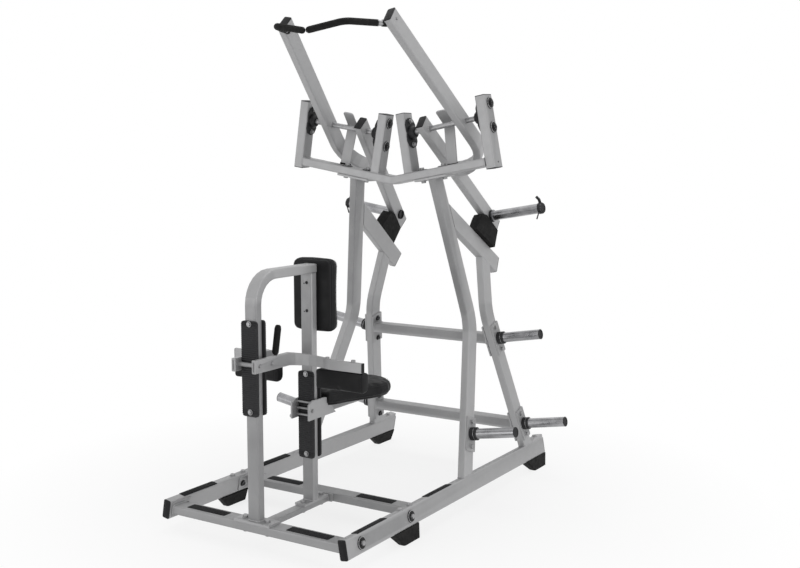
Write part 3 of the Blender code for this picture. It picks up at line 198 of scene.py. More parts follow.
def black_plastic():
    """Moulded black plastic with a fine spark-eroded texture and a painted highlight on outer edges."""
    made, tree, shader = blank("black_moulded_plastic", (0.008, 0.008, 0.009), 0.0, 0.5, 0.2)
    tone = ramp(tree, noise(tree, 40.0, 4.0),
                ((0.3, (0.006, 0.006, 0.007)), (0.7, (0.010, 0.010, 0.011))))
    # painted highlight: outer edges are mixed towards a lighter black
    colour = mixed(tree, edges(tree, 0.51, 0.60), tone, (0.032, 0.032, 0.034))
    tree.links.new(colour, shader.inputs["Base Color"])
    tree.links.new(span(tree, noise(tree, 120.0, 3.0), 0.38, 0.58), shader.inputs["Roughness"])
    bumped(tree, shader, ((noise(tree, 1400.0, 2.0), 0.18, 0.0002),))
    return made


def black_rubber():
    """Matt moulded rubber, a little dusty in random patches."""
    made, tree, shader = blank("black_moulded_rubber", (0.010, 0.010, 0.010), 0.0, 0.78, 0.2)
    tone = ramp(tree, noise(tree, 25.0, 5.0),
                ((0.3, (0.006, 0.006, 0.006)), (0.75, (0.016, 0.0157, 0.0153))))
    tree.links.new(tone, shader.inputs["Base Color"])
    tree.links.new(span(tree, noise(tree, 60.0, 3.0), 0.68, 0.90), shader.inputs["Roughness"])
    bumped(tree, shader, ((noise(tree, 500.0, 3.0), 0.25, 0.0004),))
    return made


def black_vinyl():
    """Upholstery vinyl: fine pebbled grain, soft creases, a low sheen and a painted highlight on outer
    edges.
    """
    made, tree, shader = blank("black_upholstery_vinyl", (0.008, 0.008, 0.009), 0.0, 0.5, 0.18)
    tone = ramp(tree, noise(tree, 14.0, 5.0),
                ((0.3, (0.006, 0.006, 0.0065)), (0.7, (0.010, 0.010, 0.0107))))
    # painted highlight: outer edges are mixed towards a lighter black
    colour = mixed(tree, edges(tree, 0.505, 0.56), tone, (0.022, 0.022, 0.0235))
    tree.links.new(colour, shader.inputs["Base Color"])
    tree.links.new(span(tree, noise(tree, 30.0, 4.0), 0.42, 0.58), shader.inputs["Roughness"])
    bumped(tree, shader, ((cells(tree, 620.0), 0.35, 0.0003), (noise(tree, 45.0, 3.0), 0.18, 0.0012)))
    return made


def grit_tape():
    """Anti-slip tape: coarse dark grains, a few of them painted lighter as glints."""
    made, tree, shader = blank("anti_slip_grit", (0.012, 0.012, 0.012), 0.0, 0.9, 0.2)
    grain = noise(tree, 900.0, 2.0)
    # the brightest ramp stop is a painted glint on a few grains
    tone = ramp(tree, grain,
                ((0.40, (0.006, 0.006, 0.007)), (0.62, (0.022, 0.022, 0.023)), (0.72, (0.09, 0.09, 0.095))))
    tree.links.new(tone, shader.inputs["Base Color"])
    bumped(tree, shader, ((cells(tree, 700.0), 0.6, 0.0006), (grain, 0.6, 0.0006)))
    return made


PAINT = silver_paint()
CHROME = bright_steel("polished_horn_steel", (0.15, 3.0, 3.0))
ZINC = zinc()
PLASTIC = black_plastic()
RUBBER = black_rubber()
VINYL = black_vinyl()
GRIT = grit_tape()
FINISHES = {"frame_paint": PAINT, "bright_chrome": CHROME, "zinc_steel": ZINC,
            "black_plastic": PLASTIC, "black_rubber": RUBBER, "black_vinyl": VINYL}

for part in frame["record"]["subparts"]:
    made = frame["nodes"][part["node"]]
    made.data.materials.clear()
    made.data.materials.append(FINISHES[part["material_slot"]])

# frames of the leaning side frames and the toed-in crown, as in the CAD
LEAN = radians(9.8)
TOE = radians(2.5)
RAIL = (0.4775, 0.1032)
RAIL_SIZE = (0.038, 0.085)
RAIL_LONG = 1.86
CROWN_Y = 1.134


def unit(v):
    v = np.asarray(v, float)
    return v / np.linalg.norm(v)


def side_axes(side):
    """Directions out, back and up of a leaning side frame."""
    out = np.array([side * cos(LEAN), 0.0, sin(LEAN)])
    up = np.array([-side * sin(LEAN), 0.0, cos(LEAN)])
    return out, Y_AXIS, up


def side_point(side, s, y, h):
    """The point s outwards, y back and h up in a side frame."""
    out, back, up = side_axes(side)
    return np.array([side * RAIL[0], 0.0, RAIL[1]]) + out * s + back * y + up * h


def crown_axes(side):
    """Directions out, back and up of one half of the crown."""
    out, back, up = side_axes(side)
    return out * cos(TOE) - back * sin(TOE), back * cos(TOE) + out * sin(TOE), up


def crown_point(side, s, y, h):
    """The point s outwards, y back and h up in one half of the crown."""
    out, back, up = crown_axes(side)
    return np.array([side * RAIL[0], CROWN_Y, RAIL[1]]) + out * s + back * (y - CROWN_Y) + up * h


def crown_vector(side, y, h):
    out, back, up = crown_axes(side)
    return back * y + up * h


def square_axes(aim):
    """The unit vector along aim and two that are square to it."""
    aim = unit(aim)
    u = unit(np.cross(aim, Z_AXIS if abs(aim[2]) < 0.9 else X_AXIS))
    return aim, u, np.cross(aim, u)


def linked(name, data):
    """A new object in the scene."""
    made = bpy.data.objects.new(name, data)
    bpy.context.scene.collection.objects.link(made)
    return made


# mesh helpers
def rounded(width, height, radius, steps=5):
    """Outline of a rectangle with rounded corners."""
    points = []
    for quarter in range(4):
        sx = (1, -1, -1, 1)[quarter]
        sy = (1, 1, -1, -1)[quarter]
        for step in range(steps):
            angle = pi / 2 * (quarter + step / (steps - 1))
            points.append((sx * (width / 2 - radius) + radius * cos(angle),
                           sy * (height / 2 - radius) + radius * sin(angle)))
    return points


def circle(radius, count):
    return [(radius * cos(2 * pi * i / count), radius * sin(2 * pi * i / count)) for i in range(count)]


def placed(outline, origin, u, v):
    """A flat outline as points on the plane of u and v."""
    return [origin + u * a + v * b for a, b in outline]


def loft(loops, closed=True):
    """Points and faces of a body through loops of equal length, with flat ends."""
    count = len(loops[0])
    points = [p for loop in loops for p in loop]
    faces = []
    for k in range(len(loops) - 1):
        for i in range(count):
            j = (i + 1) % count
            faces.append((k * count + i, k * count + j, (k + 1) * count + j, (k + 1) * count + i))
    if closed:
        last = (len(loops) - 1) * count
        faces.append(tuple(reversed(range(count))))
        faces.append(tuple(last + i for i in range(count)))
    return points, faces


def ring_loft(loops):
    """As loft, but the last loop joins the first, so the body is a ring."""
    count = len(loops[0])
    points = [p for loop in loops for p in loop]
    faces = []
    for k in range(len(loops)):
        n = (k + 1) % len(loops)
        for i in range(count):
            j = (i + 1) % count
            faces.append((k * count + i, k * count + j, n * count + j, n * count + i))
    return points, faces


def piece(name, bodies, material, body, smooth=35):
    """One mesh object from several closed bodies, riding on a CAD body."""
    points = []
    faces = []
    for some_points, some_faces in bodies:
        base = len(points)
        points += [tuple(p) for p in some_points]
        faces += [tuple(base + i for i in face) for face in some_faces]
    mesh = bpy.data.meshes.new(name)
    mesh.from_pydata(points, [], faces)
    mesh.update()
    mesh.materials.append(material)
    made = linked(name, mesh)
    made.matrix_world = Matrix.Translation((0.0, -ORIGIN_Y, 0.0))
    clean_normals(made)
    mesh.shade_smooth()
    mesh.set_sharp_from_angle(angle=radians(smooth))
    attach(made, body)
    return made


def clean_normals(made):
    bm = bmesh.new()
    bm.from_mesh(made.data)
    bmesh.ops.recalc_face_normals(bm, faces=bm.faces)
    bm.to_mesh(made.data)
    bm.free()


# small fasteners
def bolt(where, aim, flat, high):
    """A hexagon head with a chamfered crown, just larger than the plain head under it."""
    aim, u, v = square_axes(aim)
    corner = (flat + 0.0006) / sqrt(3)
    loops = []
    for rise, crown in ((0.0, 0.0), (0.80, 0.0), (1.0, 0.55)):
        loop = []
        for i in range(12):
            angle = pi / 6 * i
            hexed = corner if i % 2 == 0 else corner * cos(pi / 6)
            radius = hexed * (1 - crown) + corner * 0.86 * crown * (0.93 if rise == 1.0 else 1.0)
            loop.append(where + aim * ((high + 0.0004) * rise) + (u * cos(angle) + v * sin(angle)) * radius)
        loops.append(loop)
    loops.append(placed(circle(corner * 0.55, 12), where + aim * (high + 0.0006), u, v))
    return loft(loops)


def turned(where, aim, radius, thick, profile, count):
    """A turned disc; profile is (share of its thickness, share of its radius)."""
    aim, u, v = square_axes(aim)
    loops = []
    for rise, share in profile:
        loops.append(placed(circle(radius * share, count), where + aim * thick * rise, u, v))
    return loft(loops)


def washer(where, aim, radius, thick=0.0016):
    """A flat disc with a softened rim; the bolt through it hides its hole."""
    return turned(where, aim, radius, thick, ((0.0, 1.0), (0.75, 1.0), (1.0, 0.96)), 24)


def dome(where, aim, radius, thick):
    """A round plastic cover disc with a rolled rim."""
    return turned(where, aim, radius, thick,
                  ((0.0, 1.0), (0.45, 1.0), (0.80, 0.95), (1.0, 0.84), (1.0, 0.5)), 32)


def plug(centre, aim, across, width, height, thick=0.004, corner=0.007):
    """A tube's end plug: a flange with rounded edges and a slightly raised middle."""
    aim = unit(aim)
    across = unit(across - aim * np.dot(across, aim))
    other = np.cross(aim, across)
    loops = []
    for rise, shrink in ((0.05, 0.0004), (0.25, -0.0004), (0.65, -0.0004), (0.90, 0.0012), (1.0, 0.0035),
                         (1.0, 0.0075), (1.15, 0.0095)):
        outline = rounded(width - 2 * shrink, height - 2 * shrink, max(corner - shrink, 0.0015))
        loops.append(placed(outline, centre + aim * thick * rise, across, other))
    return loft(loops)


def bead(loop, radius):
    """A weld bead along a closed loop of points, with the ripple of a hand weld."""
    points = [np.asarray(p, float) for p in loop]
    dense = []
    for i, a in enumerate(points):
        b = points[(i + 1) % len(points)]
        steps = max(1, int(np.linalg.norm(b - a) / (radius * 0.9)))
        dense += [a + (b - a) * k / steps for k in range(steps)]
    count = len(dense)
    middle = np.mean(points, axis=0)
    rings = []
    for i, p in enumerate(dense):
        aim = unit(dense[(i + 1) % count] - dense[i - 1])
        u = p - middle
        u = unit(u - aim * np.dot(u, aim))
        v = np.cross(aim, u)
        size = radius * (1.0 if i % 2 else 0.86)
        rings.append(placed(circle(size, 7), p, u, v))
    return ring_loft(rings)


def tube_bead(centre, aim, across, width, height, corner=0.006, radius=0.0028):
    """A weld bead round a rectangular tube where it meets a face."""
    aim = unit(aim)
    across = unit(across - aim * np.dot(across, aim))
    return bead(placed(rounded(width, height, corner, 3), centre, across, np.cross(aim, across)), radius)


def plate_bead(side, plate, y, z, width, height):
    """A weld bead round a level tube where it meets a plate of a side frame."""
    out, back, up = side_axes(side)
    loop = []
    for dy, dz in rounded(width, height, 0.006, 3):
        h = (z + dz - RAIL[1] - out[2] * plate) / up[2]
        loop.append(side_point(side, plate - 0.0006, y + dy, h))
    return bead(loop, 0.0028)


trims = {}


def add(name, body, material, *bodies):
    """Collects small bodies that belong to one trim piece."""
    trims.setdefault((name, body, material), []).extend(bodies)


def fasten(name, body, where, aim, head, washer_radius, material=ZINC):
    """A bolt's head or a nut on its washer; head is (width across flats, height)."""
    add(name, body, material, bolt(where, aim, *head), washer(where, aim, washer_radius))


# rails: side discs, top bolts, end plugs and anti-slip strips
FOOT_BOLTS_Y = (0.434, 0.510)
SIDE_BOLTS_Y = (0.102, 0.485)
BLOCK_BOLT_Y = 1.800
BLOCK_HIGH = 0.017
RAIL_STRIP = 0.035
CROSS_STRIP = 0.050
STRIPS_Y = ((0.087, 0.309), (0.645, 0.864))
GAP = 0.0003

# heads and nuts as (width across flats, height), and the radii of their washers
HEX = (0.019, 0.009)
NUT = (0.019, 0.010)
SMALL_HEX = (0.013, 0.006)
WASHER = 0.0150
NUT_WASHER = 0.0155
HORN_WASHER = 0.0148
BEARING_WASHER = 0.0112
SMALL_WASHER = 0.0100
DISC = (0.0274, 0.0053)


def on_disc(discs, heads, where, aim, material=ZINC):
    """A hexagon head on a black cover disc, each added to its own piece of the frame."""
    add(discs, "frame", PLASTIC, dome(where, aim, *DISC))
    add(heads, "frame", material, bolt(where + aim * DISC[1], aim, *HEX))


def strip(centre, aim, across, normal, long, wide):
    """Anti-slip tape with rounded corners and a soft edge."""
    loops = []
    for rise, shrink in ((0.0001, 0.0), (0.0008, 0.0), (0.0012, 0.0006)):
        outline = rounded(long - 2 * shrink, wide - 2 * shrink, 0.005)
        loops.append(placed(outline, centre + normal * rise, aim, across))
    return loft(loops)


for side, label in SIDES:
    out, back, up = side_axes(side)
    top = RAIL_SIZE[1] / 2
    face = RAIL_SIZE[0] / 2
    for y in FOOT_BOLTS_Y:
        fasten(label + "_rail_bolts", "frame", side_point(side, 0, y, top), up, HEX, WASHER)
    where = side_point(side, 0, BLOCK_BOLT_Y, top + BLOCK_HIGH)
    fasten(label + "_rail_bolts", "frame", where, up, HEX, WASHER)
    for y in SIDE_BOLTS_Y:
        on_disc(label + "_rail_discs", label + "_rail_bolts", side_point(side, face, y, 0), out)
    for y, aim in ((0.0, -back), (RAIL_LONG, back)):
        add(label + "_rail_plugs", "frame", PLASTIC, plug(side_point(side, 0, y, 0), aim, out, *RAIL_SIZE))
    for low, high in STRIPS_Y:
        where = side_point(side, 0, (low + high) / 2, top)
        add(label + "_rail_grip_strips", "frame", GRIT, strip(where, back, out, up, high - low, RAIL_STRIP))

# crossmembers
CROSS_LOW = 0.080
CROSS_TOP = 0.120
CROSS_WIDE = 0.080
CROSS_Y = (0.052, 0.573)
CROSS_STRIPS = ((CROSS_Y[0], 0.168, 0.383), (CROSS_Y[1], 0.160, 0.355))
for y, low, high in CROSS_STRIPS:
    for side in (1, -1):
        where = np.array([side * (low + high) / 2, y, CROSS_TOP])
        add("crossmember_grip_strips", "frame", GRIT,
            strip(where, X_AXIS, Y_AXIS, Z_AXIS, high - low, CROSS_STRIP))

CROSS_PLATE = 0.006
for side, label in SIDES:
    out, back, up = side_axes(side)
    plate = -RAIL_SIZE[0] / 2 - GAP - CROSS_PLATE
    for y in SIDE_BOLTS_Y:
        where = side_point(side, plate, y, 0)
        fasten(label + "_rail_nuts", "frame", where, -out, NUT, NUT_WASHER, PLASTIC)
    for y in CROSS_Y:
        add("crossmember_welds", "frame", PAINT,
            plate_bead(side, plate, y, (CROSS_LOW + CROSS_TOP) / 2, CROSS_WIDE, CROSS_TOP - CROSS_LOW))

CENTRE_BEAM = (0.050, 0.025)
CENTRE_BEAM_Z = 0.0925
for y, way in zip(CROSS_Y, (1, -1)):
    end = np.array([0, y + way * (CROSS_WIDE / 2 + GAP + CROSS_PLATE), CENTRE_BEAM_Z])
    add("centre_beam_welds", "frame", PAINT,
        tube_bead(end, way * Y_AXIS, X_AXIS, *CENTRE_BEAM, 0.003, 0.0022))

# posts
FLANGE_TOP = 0.1303
INNER_FLANGE_TOP = 0.1153
OUTER_Y = 0.043
INNER_Y = 0.425
POST = (0.060, 0.040)
OUTER_BOLT_X = 0.060
INNER_BOLTS_Y = (0.365, 0.501)
CHEST_BOLTS_Z = (0.980, 1.105)
CHEST_BOLT_X = 0.004
CHEST_HEX = (0.008, 0.0030)
CHEST_WASHER = (0.0072, 0.0023)
CHEST_HOLE = (-0.010, -0.004)     # from the post's middle, from the bolt
SMALL_HOLE_SHADE = (0.0032, 0.0004)
for x in (-OUTER_BOLT_X, OUTER_BOLT_X):
    fasten("post_bolts", "frame", np.array([x, OUTER_Y, FLANGE_TOP]), Z_AXIS, HEX, WASHER)
    add("post_bolts", "frame", ZINC, bolt(np.array([x, OUTER_Y, CROSS_LOW]), -Z_AXIS, *NUT))
for y in INNER_BOLTS_Y:
    fasten("post_bolts", "frame", np.array([0, y, INNER_FLANGE_TOP]), Z_AXIS, HEX, WASHER)
    add("post_bolts", "frame", ZINC, bolt(np.array([0, y, CROSS_LOW]), -Z_AXIS, *NUT))
for z in CHEST_BOLTS_Z:
    where = np.array([CHEST_BOLT_X, INNER_Y - POST[1] / 2, z])
    low = np.array([CHEST_HOLE[0], INNER_Y - POST[1] / 2, z + CHEST_HOLE[1]])
    # the last thin black disc is painted shade inside a small hole beside the bolt
    add("chest_bolts", "frame", PLASTIC, washer(where, -Y_AXIS, *CHEST_WASHER),
        bolt(where, -Y_AXIS, *CHEST_HEX), washer(low, -Y_AXIS, *SMALL_HOLE_SHADE))
for y, z in ((OUTER_Y, FLANGE_TOP), (INNER_Y, INNER_FLANGE_TOP)):
    add("post_welds", "frame", PAINT, tube_bead(np.array([0, y, z + 0.0006]), Z_AXIS, X_AXIS, *POST))

# toothed plates on the posts as (y of the post, low end, high end, hole)
RATCHET_THICK = 0.010
RATCHET_HEX = (0.016, 0.006)
RATCHET_BOLTS = (0.020, 0.014)     # from the low and the high end
RATCHET_WASHER = 0.0125
RATCHET_HOLE_SHADE = (0.0042, 0.0012)
RATCHETS = ((OUTER_Y, 0.580, 0.985, 0.701), (INNER_Y, 0.312, 0.710, 0.429))
for post_y, low, high, hole in RATCHETS:
    for way in (-1, 1):
        aim = way * Y_AXIS
        face = post_y + way * (POST[1] / 2 + GAP + RATCHET_THICK)
        for z in (low + RATCHET_BOLTS[0], high - RATCHET_BOLTS[1]):
            where = np.array([0, face, z])
            add("ratchet_bolts", "frame", ZINC, bolt(where - aim * 0.001, aim, *RATCHET_HEX),
                washer(where - aim * 0.0012, aim, RATCHET_WASHER))
        # a flat black disc at the pin hole: painted shade inside the hole
        where = np.array([0.002, face, hole])
        add("ratchet_hole_rims", "frame", PLASTIC, washer(where - aim * 0.0008, aim, *RATCHET_HOLE_SHADE))

# legs, gusset arms and crossbars
LEG_WIDE = 0.040
LEG_DEEP = 0.080
FRONT_LEG_FOOT = (1.0209, 0.0425)
FRONT_LEG_KNEE = (1.282, 0.749)
FRONT_LEG_TOP = (1.147, 1.4665)
REAR_LEG_FOOT = (1.680, 0.0425)
REAR_LEG_KNEE = (1.4595, 0.778)
GUSSET_EDGE = (1.199, 1.351)
GUSSET_TIP = (1.650, 1.044)
GUSSET_HIGH = 0.089
UPPER_BAR_H = 0.636
LOWER_BAR_H = 0.163
CROSSBAR = (0.080, 0.050)
LOW_FRONT_HORN_H = 0.229
PLATE_THICK = 0.008
PLATE_BOLT = 0.060
HORN_RADIUS = 0.025
HORN_END = 0.264
COLLAR = (0.0316, 0.0345)


def on_leg(foot, aim, h):
    """The point (y, h) of a leg's lower half at the height h."""
    return foot[0] + (h - foot[1]) * aim[0] / aim[1], h


def sleeve(start, aim, profile, count=36):
    """A turned ring; profile is a closed outline of (distance along aim, radius)."""
    aim, u, v = square_axes(aim)
    loops = [placed(circle(radius, count), start + aim * along, u, v) for along, radius in profile]
    return ring_loft(loops)


def cap(centre, aim, radius, deep=0.004):
    """A horn's moulded end cap: a rolled rim round a dished face."""
    profile = ((0.02, 0.98), (0.2, 1.012), (0.7, 1.012), (1.0, 0.95), (1.0, 0.80), (0.55, 0.74),
               (0.55, 0.3))
    return turned(centre, aim, radius, deep, profile, 36)


def root_collar(start, aim, long, inner=HORN_RADIUS + 0.0002, outer=COLLAR[0]):
    """The black collar at the root of a horn, with rounded edges and one shallow groove."""
    edge = 0.0018
    groove = outer - 0.001
    profile = ((0.0004, inner), (0.0004, outer - edge), (edge, outer), (long * 0.62, outer),
               (long * 0.65, groove), (long * 0.69, groove), (long * 0.72, outer), (long - edge, outer),
               (long, outer - edge), (long, inner))
    return sleeve(start, aim, profile)


FRONT_AIM = unit(np.subtract(FRONT_LEG_KNEE, FRONT_LEG_FOOT))
REAR_AIM = unit(np.subtract(REAR_LEG_KNEE, REAR_LEG_FOOT))
GUSSET_AIM = unit(np.subtract(GUSSET_TIP, GUSSET_EDGE))
GUSSET_UP = np.array([-GUSSET_AIM[1], GUSSET_AIM[0]])

for side, label in SIDES:
    out, back, up = side_axes(side)
    top = RAIL_SIZE[1] / 2
    for foot, aim in ((FRONT_LEG_FOOT, FRONT_AIM), (REAR_LEG_FOOT, REAR_AIM)):
        long = LEG_DEEP / aim[1]
        add(label + "_leg_welds", "frame", PAINT,
            tube_bead(side_point(side, 0, foot[0], top + 0.0010), up, out, LEG_WIDE - 0.001, long))
    leg_top = side_point(side, 0, FRONT_LEG_TOP[0] + 0.001, FRONT_LEG_TOP[1] - 0.0012)
    add(label + "_leg_welds", "frame", PAINT, tube_bead(leg_top, up, out, LEG_WIDE, LEG_DEEP / 0.983))
    centre = np.array(GUSSET_TIP) - GUSSET_UP * GUSSET_HIGH / 2
    aim = back * GUSSET_AIM[0] + up * GUSSET_AIM[1]
    add(label + "_gusset_plug", "frame", PLASTIC,
        plug(side_point(side, 0, *centre), aim, out, LEG_WIDE, GUSSET_HIGH))
    horns = ((REAR_LEG_FOOT, REAR_AIM, UPPER_BAR_H), (REAR_LEG_FOOT, REAR_AIM, LOWER_BAR_H),
             (FRONT_LEG_FOOT, FRONT_AIM, LOW_FRONT_HORN_H))
    for foot, aim, h in horns:
        y, h = on_leg(foot, aim, h)
        face = LEG_WIDE / 2 + GAP + PLATE_THICK
        add(label + "_horn_collars", "frame", PLASTIC,
            root_collar(side_point(side, face, y, h), out, COLLAR[1]))
        add(label + "_horn_caps", "frame", PLASTIC, cap(side_point(side, HORN_END, y, h), out, HORN_RADIUS))
        for way in (-1, 1):
            shift = aim * way * PLATE_BOLT
            where = side_point(side, face, y + shift[0], h + shift[1])
            fasten(label + "_horn_bolts", "frame", where, out, HEX, HORN_WASHER)
    for h in (UPPER_BAR_H, LOWER_BAR_H):
        y, h = on_leg(REAR_LEG_FOOT, REAR_AIM, h)
        plate = -LEG_WIDE / 2 - GAP - PLATE_THICK
        for way in (-1, 1):
            shift = REAR_AIM * way * PLATE_BOLT
            where = side_point(side, plate, y + shift[0], h + shift[1])
            fasten("crossbar_nuts", "frame", where, -out, NUT, NUT_WASHER, PLASTIC)
        z = side_point(side, 0, y, h)[2]
        add("crossbar_welds", "frame", PAINT, plate_bead(side, plate, y, z, *CROSSBAR))

# crown
CROWN_BEAM_H = 1.4768
CROWN_BEAM = (0.080, 0.040)
UPRIGHT = (0.050, 0.075)
INBOARD_S = -0.122
OUTBOARD_S = 0.336
INBOARD_TOP = 1.804
OUTBOARD_H = (1.4668, 1.801)
OUTBOARD_SLOPE = np.tan(radians(2))
SHAFT_H = 1.7075
SHAFT_RADIUS = 0.0127
BEARING_BOLT = 0.0565
BEARING_THICK = 0.030
BEARING_FLANGE = 0.007
BEARING_HEX = (0.016, 0.010)
FLANGE_BOLT = 0.062
FLANGE_H = FRONT_LEG_TOP[1]
BRACKET_S = 0.094
BRACKET_FOOT_Y = CROWN_Y + 0.0315
BRACKET_FOOT_BAND = (0.061, 0.0115)
BRACKET_FOOT_BAND_H = (0.0002, 0.0090)
BRACKET_LEAN = 0.12
TAPPED_HOLE = (1.135, 1.4905)
TAPPED_HOLE_SHADE = (0.0042, 0.0004)

for side, label in SIDES:
    out, back, up = crown_axes(side)
    beam_top = CROWN_BEAM_H + CROWN_BEAM[1]
    for s in (-FLANGE_BOLT, FLANGE_BOLT):
        where = crown_point(side, s, CROWN_Y, beam_top)
        on_disc(label + "_crown_discs", label + "_crown_bolts", where, up)
        low = crown_point(side, s, CROWN_Y, FLANGE_H)
        fasten(label + "_crown_bolts", "frame", low, -up, NUT, NUT_WASHER)
    uprights = ((INBOARD_S, INBOARD_TOP, 0.0, 1), (OUTBOARD_S, OUTBOARD_H[1], OUTBOARD_SLOPE, -1))
    for s, top, slope, way in uprights:
        where = crown_point(side, s, CROWN_Y - (top - beam_top) * slope, top)
        add(label + "_upright_caps", "frame", PLASTIC, plug(where, up - back * slope, out, *UPRIGHT))
        for h in (SHAFT_H - BEARING_BOLT, SHAFT_H + BEARING_BOLT):
            far = crown_point(side, s - way * UPRIGHT[0] / 2, CROWN_Y, h)
            on_disc(label + "_crown_discs", label + "_upright_nuts", far, -way * out, PLASTIC)
            near = crown_point(side, s + way * (UPRIGHT[0] / 2 + GAP + BEARING_FLANGE), CROWN_Y, h)
            fasten(label + "_bearing_bolts", "frame", near, way * out, BEARING_HEX, BEARING_WASHER)
        start = crown_point(side, s + way * (UPRIGHT[0] / 2 + GAP + BEARING_THICK), CROWN_Y, SHAFT_H)
        rim = ((0.0004, SHAFT_RADIUS + 0.0006), (0.0004, 0.0215), (0.0020, 0.0210), (0.0024, 0.0195),
               (0.0012, 0.0188), (0.0012, 0.0172), (0.0030, 0.0165), (0.0030, SHAFT_RADIUS + 0.0006))
        add(label + "_bearing_seals", "frame", PLASTIC, sleeve(start, way * out, rim))
    low_y = CROWN_Y - (OUTBOARD_H[0] - beam_top) * OUTBOARD_SLOPE
    low = crown_point(side, OUTBOARD_S, low_y, OUTBOARD_H[0])
    add(label + "_upright_caps", "frame", PLASTIC, plug(low, back * OUTBOARD_SLOPE - up, out, *UPRIGHT))
    beam_axis = CROWN_BEAM_H + CROWN_BEAM[1] / 2
    beam_end = crown_point(side, OUTBOARD_S - UPRIGHT[0] / 2 - 0.0008, CROWN_Y, beam_axis)
    add(label + "_crown_welds", "frame", PAINT,
        tube_bead(crown_point(side, INBOARD_S, CROWN_Y, beam_top + 0.0008), up, out, *UPRIGHT),
        tube_bead(beam_end, out, back, *CROWN_BEAM))
    # a thin black block round the foot of the stop bracket, standing on the beam
    foot = crown_point(side, BRACKET_S, BRACKET_FOOT_Y, beam_top)
    foot_band = rounded(*BRACKET_FOOT_BAND, 0.003, 4)
    loops = [placed(foot_band, foot + up * h + back * h * BRACKET_LEAN, out, back) for h in BRACKET_FOOT_BAND_H]
    add(label + "_bracket_soles", "frame", RUBBER, loft(loops))
    # a thin black disc on the upright: painted shade inside a tapped hole
    where = crown_point(side, OUTBOARD_S + UPRIGHT[0] / 2, *TAPPED_HOLE)
    add(label + "_tapped_holes", "frame", PLASTIC, washer(where, out, *TAPPED_HOLE_SHADE))

# swinging arms
ARM_AIM = (cos(radians(43.38)), -sin(radians(43.38)))
WEIGHT_AIM = (cos(radians(43.785)), -sin(radians(43.785)))
HANDLE_ARM_S = 0.202
HANDLE_ARM = (0.040, 0.078)
HANDLE_ARM_REACH = -0.665
HANDLE_ARM_CORNER = 0.290
HANDLE_ROOT = (-0.640, -0.022)
HANDLE_BEND_POINT = (-0.0009, -0.684, 0.4422)
HANDLE_WELD = (0.0135, 0.0024)
BAR_SLEEVE = (0.002, 0.026)
WEIGHT_ARM_S = -0.004
WEIGHT_ARM = (0.040, 0.075)
WEIGHT_ARM_ENDS = (-0.050, 0.723)
WEIGHT_HORN_T = 0.648
WEIGHT_HORN_END = 0.314
STUB_LONG = 0.012
TOP_BOLT = 0.030
TOP_HEX = (0.010, 0.004)
TOP_WASHER = (0.0075, 0.0012)
WELD_LIFT = 0.0006
WELD_RADIUS = 0.0026
SHAFT_WELD = SHAFT_RADIUS + 0.0016

for side, label in SIDES:
    out, back, up = crown_axes(side)
    arm = label + "_arm"
    pivot = crown_point(side, 0, CROWN_Y, SHAFT_H)
    aim = unit(crown_vector(side, *WEIGHT_AIM))
    lane = pivot + out * WEIGHT_ARM_S
    for t, way in zip(WEIGHT_ARM_ENDS, (-1, 1)):
        add(arm + "_plugs", arm, PLASTIC, plug(lane + aim * t, way * aim, out, *WEIGHT_ARM))
    horn = lane + aim * WEIGHT_HORN_T
    add(arm + "_horn_trims", arm, PLASTIC, root_collar(horn + out * WEIGHT_ARM[0] / 2, out, COLLAR[1] / 2),
        cap(pivot + out * WEIGHT_HORN_END + aim * WEIGHT_HORN_T, out, HORN_RADIUS),
        cap(horn - out * WEIGHT_ARM[0] / 2, -out, HORN_RADIUS, STUB_LONG))
    for shift in (-1, 1):
        face = lane + out * shift * (WEIGHT_ARM[0] / 2 + WELD_LIFT)
        add(arm + "_shaft_welds", arm, PAINT,
            bead(placed(circle(SHAFT_WELD, 16), face, np.cross(out, aim), aim), WELD_RADIUS))
    aim = unit(crown_vector(side, *ARM_AIM))
    lane = pivot + out * HANDLE_ARM_S
    across = np.cross(out, aim)
    add(arm + "_plugs", arm, PLASTIC, plug(lane + aim * HANDLE_ARM_REACH, -aim, out, *HANDLE_ARM))
    for shift in (-1, 1):
        face = lane + out * shift * (HANDLE_ARM[0] / 2 + WELD_LIFT)
        add(arm + "_shaft_welds", arm, PAINT,
            bead(placed(circle(SHAFT_WELD, 16), face, across, aim), WELD_RADIUS))
    corner = lane + aim * HANDLE_ARM_CORNER
    inner = corner - out * (HANDLE_ARM_S - WEIGHT_ARM_S - WEIGHT_ARM[0] / 2 - 0.0009)
    add(arm + "_shaft_welds", arm, PAINT, tube_bead(inner, -out, aim, *HANDLE_ARM))
    where = lane + out * HANDLE_ARM[0] / 2 + aim * (HANDLE_ARM_REACH + TOP_BOLT)
    add(arm + "_bolts", arm, ZINC, bolt(where, out, *TOP_HEX), washer(where, out, *TOP_WASHER))
    root = lane + aim * HANDLE_ROOT[0] - out * (HANDLE_ARM[0] / 2 + 0.0007)
    root = root + crown_vector(side, -ARM_AIM[1], ARM_AIM[0]) * HANDLE_ROOT[1]
    add(arm + "_shaft_welds", arm, PAINT,
        bead(placed(circle(HANDLE_WELD[0], 14), root, across, aim), HANDLE_WELD[1]))
    first = unit(pivot + np.array(HANDLE_BEND_POINT) * np.array([side, 1, 1]) - root)
    low, high = BAR_SLEEVE
    profile = ((low, 0.0126), (low, 0.0140), (low + 0.001, 0.0150), (high - 0.001, 0.0150), (high, 0.0140),
               (high, 0.0126))
    add(arm + "_bar_sleeves", arm, RUBBER, sleeve(root, first, profile))

